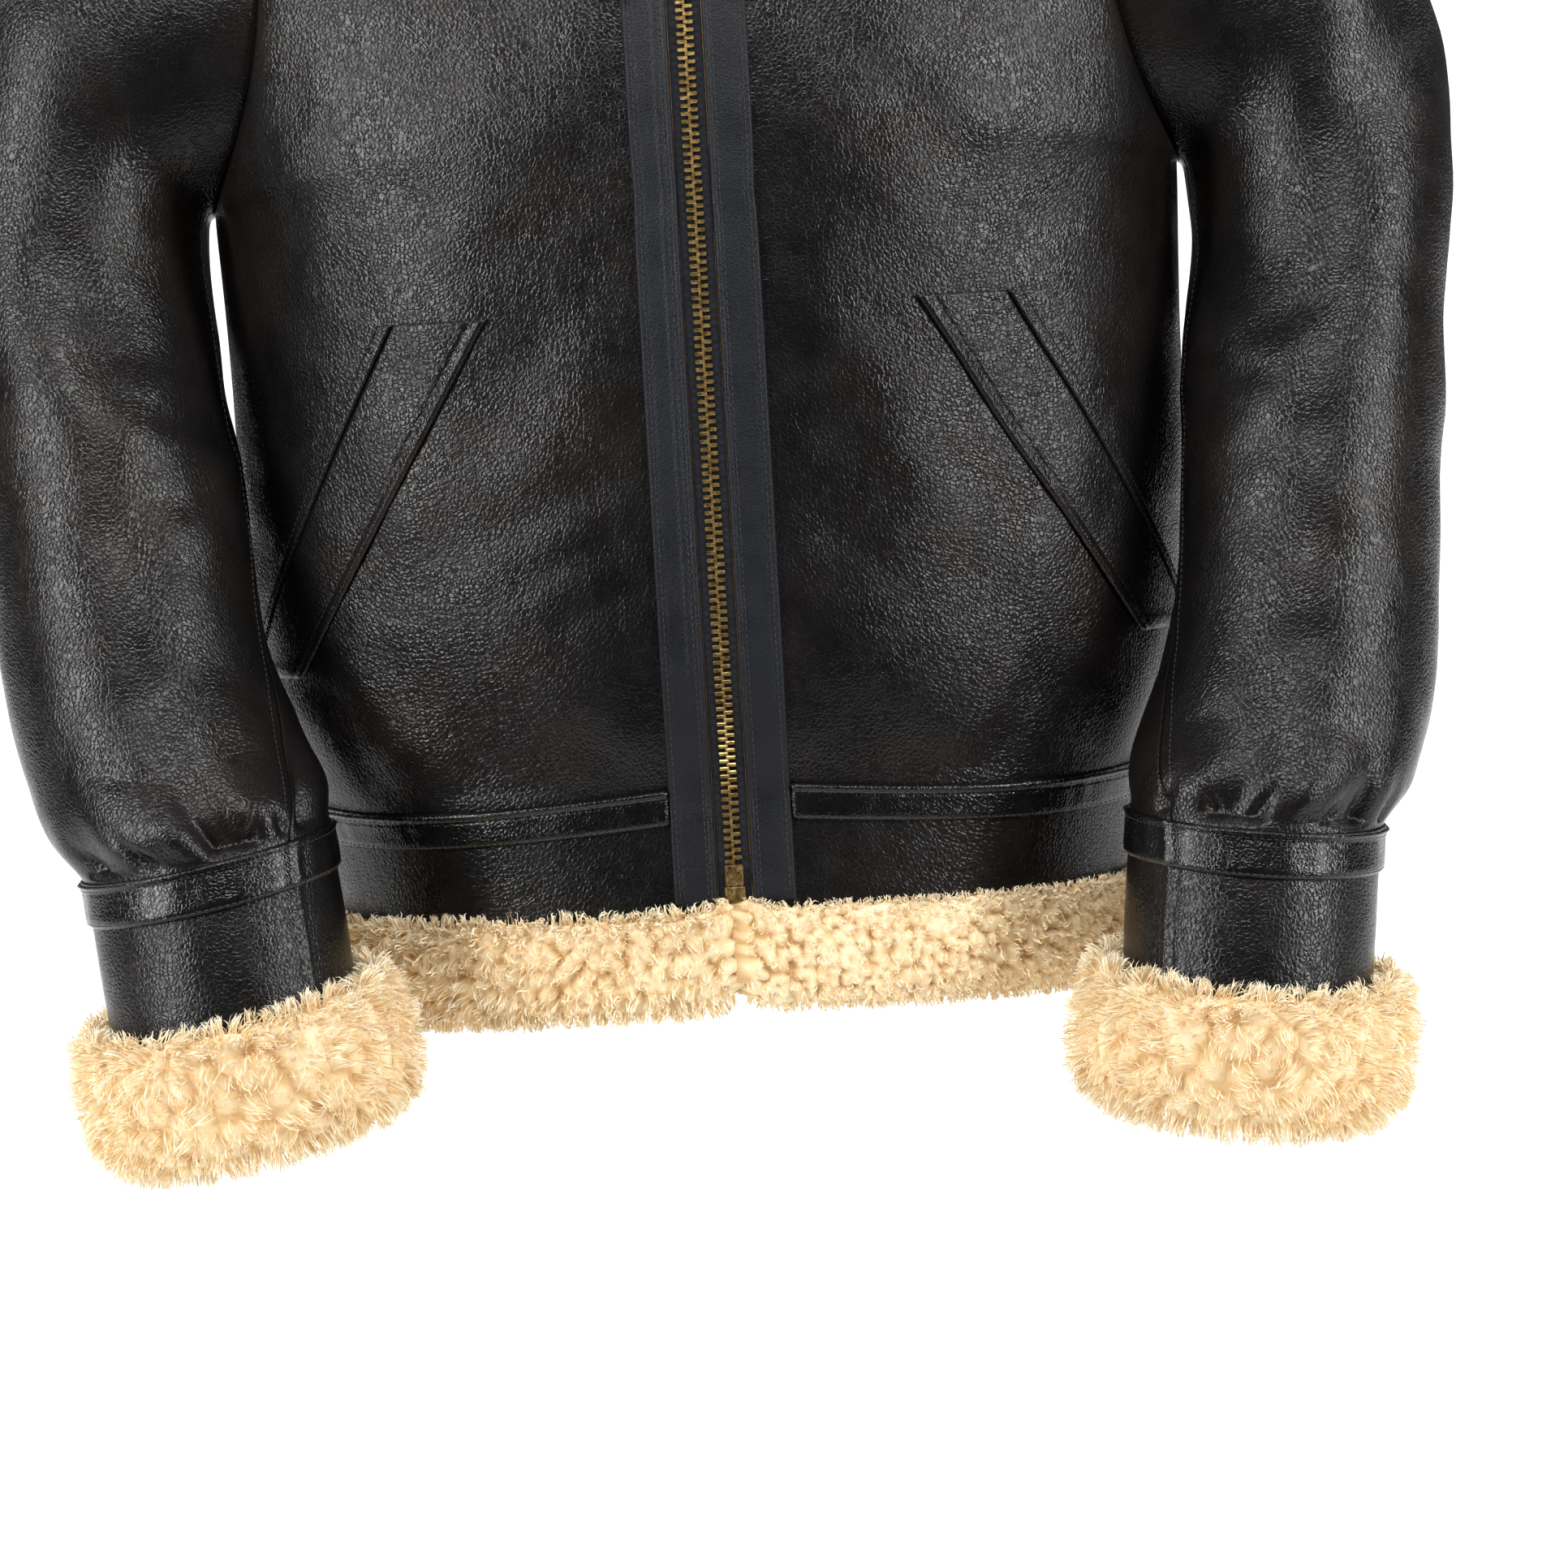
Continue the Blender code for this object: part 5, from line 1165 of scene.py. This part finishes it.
def make_wool():
    """Turned-out cuffs, the fringe under the hem, and the collar's face."""
    for side, word in WORDS.items():
        rings = cuff_wool_rings(side, 92, 220)
        shoulder = ring_centres(side)[10] * np.array([side, 1.0, 1.0])
        hang = unit(rings.mean(axis=(0, 1)) - shoulder)
        wool_piece("cuff_fur_" + word, rings, True, CUFF_WOOL, hang, CUFF_VISIBLE)
        turns = np.concatenate([[0.0], np.linspace(1.0, 90.0, 180)])
        rings = hem_wool_rings(side, FRONT, turns, 76)
        height = rings[..., 2]
        low = np.clip((height.max() - height) / HEM_FUR_HEIGHT, 0, 1) ** 2
        height += NOTCH * low * np.exp(-(rings[..., 0] / NOTCH_HALF) ** 2)
        high = np.clip(1 + (height - height.max() + TUFT_TOP) / TUFT_FADE, 0, 1)
        height += TUFT * high * np.exp(-(rings[..., 0] / TUFT_HALF) ** 4)
        rings[0, :, 0] = -side * CENTRE_LAP
        rings[-1, :, 1] -= SEAM_GAP / 2
        wool_piece("hem_fur_" + word, rings, False, HEM_WOOL[side], (-0.22 * side, -0.1, -1.0), HEM_VISIBLE)
    turns = np.linspace(90, 0, 120)
    left = hem_wool_rings(LEFT, BACK, turns, 60)
    right = hem_wool_rings(RIGHT, BACK, turns[::-1], 60)
    rings = np.concatenate([left[:-1], right])
    rings[0, :, 1] += SEAM_GAP / 2
    rings[-1, :, 1] += SEAM_GAP / 2
    wool_piece("hem_fur_back", rings, False, BACK_WOOL, (0.0, 0.1, -1.0), HEM_VISIBLE)
    stops = np.linspace(FIRST_STOP, LAST_STOP, 80)
    near = collar_grid(stops, 0.0, 60)
    far = collar_grid(stops, COLLAR_WOOL, 20)[:, ::-1]
    rings = np.concatenate([near, far], axis=1)
    wool_piece("collar_fur", rings, False, COLLAR_PILE, (0.0, 0.0, -0.6), COLLAR_VISIBLE)


def bevelled_block(half_x, half_y, half_z, edge):
    """Block with cut edges, as vertices and faces."""
    points = []
    for sx in (-1, 1):
        for sy in (-1, 1):
            for sz in (-1, 1):
                corner = np.array([sx * half_x, sy * half_y, sz * half_z])
                for k in range(3):
                    moved = corner - np.sign(corner) * edge
                    moved[k] = corner[k]
                    points.append(moved)
    bm = bmesh.new()
    for point in points:
        bm.verts.new(point)
    bm.verts.ensure_lookup_table()
    bm.verts.index_update()
    bmesh.ops.convex_hull(bm, input=bm.verts)
    bmesh.ops.dissolve_limit(bm, angle_limit=0.01, verts=bm.verts, edges=bm.edges)
    bm.verts.index_update()
    faces = [tuple(v.index for v in face.verts) for face in bm.faces]
    bm.free()
    return np.array(points), faces


def make_zip():
    """Interlocked metal teeth in place of the chain's bar."""
    places = np.linspace(HEM_EDGE, CHAIN_TOP_PLACE, 3000)
    line = body_ends(FRONT, places)[0]
    run = np.concatenate([[0], np.cumsum(np.linalg.norm(np.diff(line, axis=0), axis=-1))])
    start = float(np.interp(CHAIN_FOOT_Z, line[:, 2], run)) + TOOTH_THICK / 2
    half_thick = TOOTH_THICK / 2 * TOOTH_FILL
    points, faces = bevelled_block(TOOTH_LENGTH / 2, TOOTH_HEIGHT / 2, half_thick, TOOTH_EDGE)
    vertices = []
    all_faces = []
    for k in range(int((run[-1] - start) / (TOOTH_PITCH / 2))):
        place = np.interp(start + k * TOOTH_PITCH / 2, run, places)
        middle, out = centre_line(np.array([place]))
        side = 1 if k % 2 else -1
        up = np.cross([1.0, 0.0, 0.0], out[0])
        up = up * np.sign(up[2])
        centre = middle[0] + np.array([side * (TOOTH_LENGTH / 2 - TOOTH_MESHED), 0, 0])
        centre = centre + out[0] * (TOOTH_HEIGHT / 2 - CHAIN_BEHIND + TOOTH_SEAT)
        vertices.append(points @ np.array([[1.0, 0.0, 0.0], out[0], up]) + centre)
        all_faces.extend(tuple(k * len(points) + v for v in face) for face in faces)
    made = new_object("zip_teeth", np.concatenate(vertices).tolist(), all_faces, [brass], None)
    made.data.set_sharp_from_angle(angle=math.radians(30))
    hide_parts("zip_chain")


def along_line(line, run, at):
    """Points or normals of a line at given lengths along it."""
    return np.stack([np.interp(at, run, line[:, k]) for k in range(3)], -1)


def make_stitches():
    """Stitches along the seams, each a short thread lying in its line."""
    rings = ((-0.5, 0.35), (-0.28, 1.0), (0.28, 1.0), (0.5, 0.35))
    vertices = []
    faces = []
    base = 0
    for line, normal in stitch_lines:
        run = np.concatenate([[0], np.cumsum(np.linalg.norm(np.diff(line, axis=0), axis=-1))])
        starts = np.arange(STITCH_PITCH, run[-1] - STITCH_PITCH, STITCH_PITCH)
        for share, scale in rings:
            at = starts + share * STITCH_LENGTH
            up = unit(along_line(normal, run, at))
            forward = unit(along_line(line, run, at + STITCH_STEP) - along_line(line, run, at - STITCH_STEP))
            across = unit(np.cross(forward, up))
            point = along_line(line, run, at) + up * (STITCH_LIFT * scale)
            for turn in range(4):
                angle = math.pi / 4 + turn * math.pi / 2
                radius = (across * math.cos(angle) + up * math.sin(angle)) * STITCH_THICK / 2 * scale
                vertices.append(point + radius)
        count = len(starts)
        corners = base + np.arange(16 * count).reshape(4, 4, count)
        for k in range(3):
            for turn in range(4):
                other = (turn + 1) % 4
                quad = corners[[k, k, k + 1, k + 1], [turn, other, other, turn]]
                faces.extend(map(tuple, quad.T.tolist()))
        faces.extend(map(tuple, corners[0].T.tolist()))
        faces.extend(map(tuple, corners[3][::-1].T.tolist()))
        base += 16 * count
    new_object("stitches", np.concatenate(vertices).tolist(), faces, [thread], None)


def linear(red, green, blue):
    """Linear colour from one given in display values of 0 to 255."""
    shares = [c / 255.0 for c in (red, green, blue)]
    return tuple(c / 12.92 if c <= 0.04045 else ((c + 0.055) / 1.055) ** 2.4 for c in shares) + (1.0,)


class Nodes:
    """A material's node tree, with short ways to add to it."""

    def __init__(self, name):
        self.material = bpy.data.materials.new(name)
        self.material.use_nodes = True
        self.tree = self.material.node_tree
        self.shader = self.tree.nodes["Principled BSDF"]
        self.place = self.add("ShaderNodeTexCoord").outputs["Object"]

    def add(self, kind, **values):
        """Node of a kind with its input values set by name."""
        node = self.tree.nodes.new(kind)
        for key, value in values.items():
            node.inputs[key.replace("_", " ")].default_value = value
        return node

    def link(self, output, target):
        """Join an output to an input."""
        self.tree.links.new(output, target)

    def stretched(self, scale, turn):
        """Object position, turned and scaled."""
        node = self.add("ShaderNodeMapping", Scale=scale, Rotation=turn)
        self.link(self.place, node.inputs["Vector"])
        return node.outputs["Vector"]

    def noise(self, scale, detail=2.0, vector=None, roughness=0.5):
        """Noise from 0 to 1."""
        node = self.add("ShaderNodeTexNoise", Scale=scale, Detail=detail, Roughness=roughness)
        self.link(vector or self.place, node.inputs["Vector"])
        return node.outputs["Fac"]

    def ramp(self, factor, stops):
        """Colour ramp over a factor."""
        node = self.add("ShaderNodeValToRGB")
        while len(node.color_ramp.elements) < len(stops):
            node.color_ramp.elements.new(0.5)
        for element, (position, colour) in zip(node.color_ramp.elements, stops):
            element.position = position
            element.color = colour if isinstance(colour, tuple) else (colour, colour, colour, 1.0)
        self.link(factor, node.inputs["Fac"])
        return node.outputs["Color"]

    def bump(self, height, strength, distance, below=None):
        """Bump over another one."""
        node = self.add("ShaderNodeBump", Strength=strength, Distance=distance)
        self.link(height, node.inputs["Height"])
        if below is not None:
            self.link(below, node.inputs["Normal"])
        return node.outputs["Normal"]

    def surface(self, **inputs):
        """The material, with its shader's inputs linked to outputs or set to values by name."""
        for key, value in inputs.items():
            target = self.shader.inputs[key.replace("_", " ")]
            if isinstance(value, bpy.types.NodeSocket):
                self.link(value, target)
            else:
                target.default_value = value
        return self.material


def pebbled(hide):
    """Grained hide: pebbles parted by fine creases, with slanting wrinkles."""
    nodes = Nodes(hide.name)
    shift = nodes.add("ShaderNodeTexNoise", Scale=hide.grain * 0.45, Detail=2.0)
    nodes.link(nodes.place, shift.inputs["Vector"])
    scaled = nodes.add("ShaderNodeVectorMath")
    scaled.operation = "SCALE"
    scaled.inputs["Scale"].default_value = 1.1 / hide.grain
    nodes.link(shift.outputs["Color"], scaled.inputs[0])
    bent = nodes.add("ShaderNodeVectorMath")
    bent.operation = "ADD"
    nodes.link(nodes.place, bent.inputs[0])
    nodes.link(scaled.outputs["Vector"], bent.inputs[1])
    cells = nodes.add("ShaderNodeTexVoronoi", Scale=hide.grain, Randomness=1.0)
    cells.feature = "DISTANCE_TO_EDGE"
    nodes.link(bent.outputs["Vector"], cells.inputs["Vector"])
    pebbles = nodes.ramp(cells.outputs["Distance"], [(0.0, 0.0), (0.22, 0.62), (0.55, 1.0)])
    slanting = nodes.noise(1.0, 2.0, nodes.stretched((150.0, 150.0, 46.0), (0.0, 0.7, 0.3)), 0.45)
    normal = nodes.bump(pebbles, 0.7, hide.depth)
    normal = nodes.bump(nodes.noise(hide.grain * 1.5, 1.0), 0.3, hide.depth * 0.5, normal)
    normal = nodes.bump(slanting, 0.5, hide.wrinkle, normal)
    normal = nodes.bump(nodes.noise(24.0, 3.0), 0.3, hide.wrinkle * 4.0, normal)
    colour = nodes.ramp(nodes.noise(13.0, 4.0), [(0.38, linear(*hide.dark)), (0.72, linear(*hide.light))])
    rough = nodes.ramp(nodes.noise(60.0, 3.0), [(0.3, hide.rough_low), (0.7, hide.rough_high)])
    return nodes.surface(Normal=normal, Base_Color=colour, Roughness=rough, Specular_IOR_Level=0.36,
                         Coat_Weight=hide.coat, Coat_Roughness=0.22)


def woven():
    """Woven zip tape."""
    nodes = Nodes("zip_tape_weave")
    ribs = nodes.add("ShaderNodeTexWave", Scale=620.0, Distortion=0.6, Detail=1.0)
    ribs.bands_direction = "Z"
    nodes.link(nodes.place, ribs.inputs["Vector"])
    normal = nodes.bump(ribs.outputs["Fac"], 0.6, 0.0003)
    colour = nodes.ramp(nodes.noise(300.0, 2.0), [(0.3, linear(22, 24, 32)), (0.7, linear(38, 42, 54))])
    return nodes.surface(Normal=normal, Base_Color=colour, Roughness=0.85, Sheen_Weight=0.2)


def metal():
    """Worn brass."""
    nodes = Nodes("worn_brass")
    stops = [(0.30, linear(134, 108, 62)), (0.55, linear(208, 176, 112)), (0.80, linear(238, 216, 160))]
    rough = nodes.ramp(nodes.noise(900.0, 2.0), [(0.3, 0.26), (0.7, 0.46)])
    normal = nodes.bump(nodes.noise(1500.0, 2.0), 0.25, 0.00015)
    return nodes.surface(Base_Color=nodes.ramp(nodes.noise(420.0, 3.0), stops), Roughness=rough,
                         Metallic=1.0, Normal=normal)


def sheepswool():
    """Wool, with painted shade: darker towards the roots of its hairs and in the creases between its locks,
    paler at the tips.
    """
    nodes = Nodes("sheepswool")
    shade_and_tone = nodes.add("ShaderNodeAttribute")
    shade_and_tone.attribute_name = "shade_and_tone"
    # The darker colours at the low end are painted shade deep in the pile and between the locks; the pale end
    # is the tips.
    stops = [(0.0, linear(206, 164, 110)), (0.30, linear(238, 206, 156)),
             (0.65, linear(250, 231, 192)), (1.0, linear(253, 245, 225))]
    return nodes.surface(Base_Color=nodes.ramp(shade_and_tone.outputs["Fac"], stops), Roughness=0.8,
                         Sheen_Weight=0.35, Sheen_Roughness=0.4)


def short_pile():
    """Wool side of the hide, inside the garment."""
    nodes = Nodes("wool_side")
    colour = nodes.ramp(nodes.noise(160.0, 4.0), [(0.3, linear(190, 148, 92)), (0.7, linear(238, 208, 154))])
    normal = nodes.bump(nodes.noise(420.0, 4.0), 1.0, 0.0015)
    return nodes.surface(Base_Color=colour, Normal=normal, Roughness=0.95, Sheen_Weight=0.35)


def plain(name, colour, roughness):
    """Even finish."""
    return Nodes(name).surface(Base_Color=colour, Roughness=roughness)


def aimed(made, place, target):
    """Put an object at a place, in the scene, and turn it to a target."""
    bpy.context.scene.collection.objects.link(made)
    made.location = place
    turn = (Vector(target) - Vector(place)).to_track_quat("-Z", "Y").to_matrix().to_4x4()
    made.matrix_world = Matrix.Translation(place) @ turn


def make_camera():
    """Camera level with the hem, a few metres off, tilted as in the picture."""
    data = bpy.data.cameras.new("camera")
    data.lens = LENS
    data.sensor_width = SENSOR
    made = bpy.data.objects.new("camera", data)
    away = Vector((0.0, -math.cos(ELEVATION), math.sin(ELEVATION)))
    aimed(made, Vector(CAMERA_TARGET) + away * CAMERA_DISTANCE, CAMERA_TARGET)
    made.matrix_world = made.matrix_world @ Matrix.Rotation(CAMERA_ROLL, 4, "Z")
    bpy.context.scene.camera = made


def area_light(lamp):
    """Soft light aimed at a point."""
    data = bpy.data.lights.new(lamp.name, "AREA")
    data.shape = "RECTANGLE"
    data.size = lamp.width
    data.size_y = lamp.height
    data.energy = lamp.watts
    aimed(bpy.data.objects.new(lamp.name, data), lamp.place, lamp.target)


def make_studio():
    """White surround, pale floor and soft lights."""
    world = bpy.data.worlds.new("white_surround")
    world.use_nodes = True
    tree = world.node_tree
    lit = tree.nodes["Background"]
    seen = tree.nodes.new("ShaderNodeBackground")
    for background, strength in ((lit, SURROUND_LIGHT), (seen, 1.0)):
        background.inputs["Color"].default_value = (1.0, 1.0, 1.0, 1.0)
        background.inputs["Strength"].default_value = strength
    path = tree.nodes.new("ShaderNodeLightPath")
    mix = tree.nodes.new("ShaderNodeMixShader")
    tree.links.new(path.outputs["Is Camera Ray"], mix.inputs["Fac"])
    tree.links.new(lit.outputs["Background"], mix.inputs[1])
    tree.links.new(seen.outputs["Background"], mix.inputs[2])
    tree.links.new(mix.outputs["Shader"], tree.nodes["World Output"].inputs["Surface"])
    bpy.context.scene.world = world
    bpy.ops.mesh.primitive_plane_add(size=10.0, location=(0.0, 4.5, -0.86))
    floor = bpy.context.object
    floor.name = "floor"
    floor.data.materials.append(plain("pale_floor", (0.9, 0.9, 0.9, 1.0), 0.9))
    for lamp in LAMPS:
        area_light(lamp)
    bpy.context.scene.view_settings.view_transform = "Standard"
    bpy.context.scene.view_settings.look = "None"
    bpy.context.scene.view_settings.exposure = 0.35


leather = pebbled(LEATHER)
nappa = pebbled(NAPPA)
placket = pebbled(MATTE)
thread = plain("black_thread", linear(60, 60, 64), 0.6)
tape = woven()
brass = metal()
wool = sheepswool()
wool_side = short_pile()

stitch_lines = []

make_fronts()
make_back()
make_sleeves()
make_hem_straps()
make_cuffs()
make_plackets()
make_pockets()
make_collar_hide()
make_wool()
make_zip()
make_stitches()
for piece in ("zip_box", "zip_pin", "zip_slider", "zip_pull"):
    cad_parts[piece].data.materials.clear()
    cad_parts[piece].data.materials.append(brass)
make_camera()
make_studio()
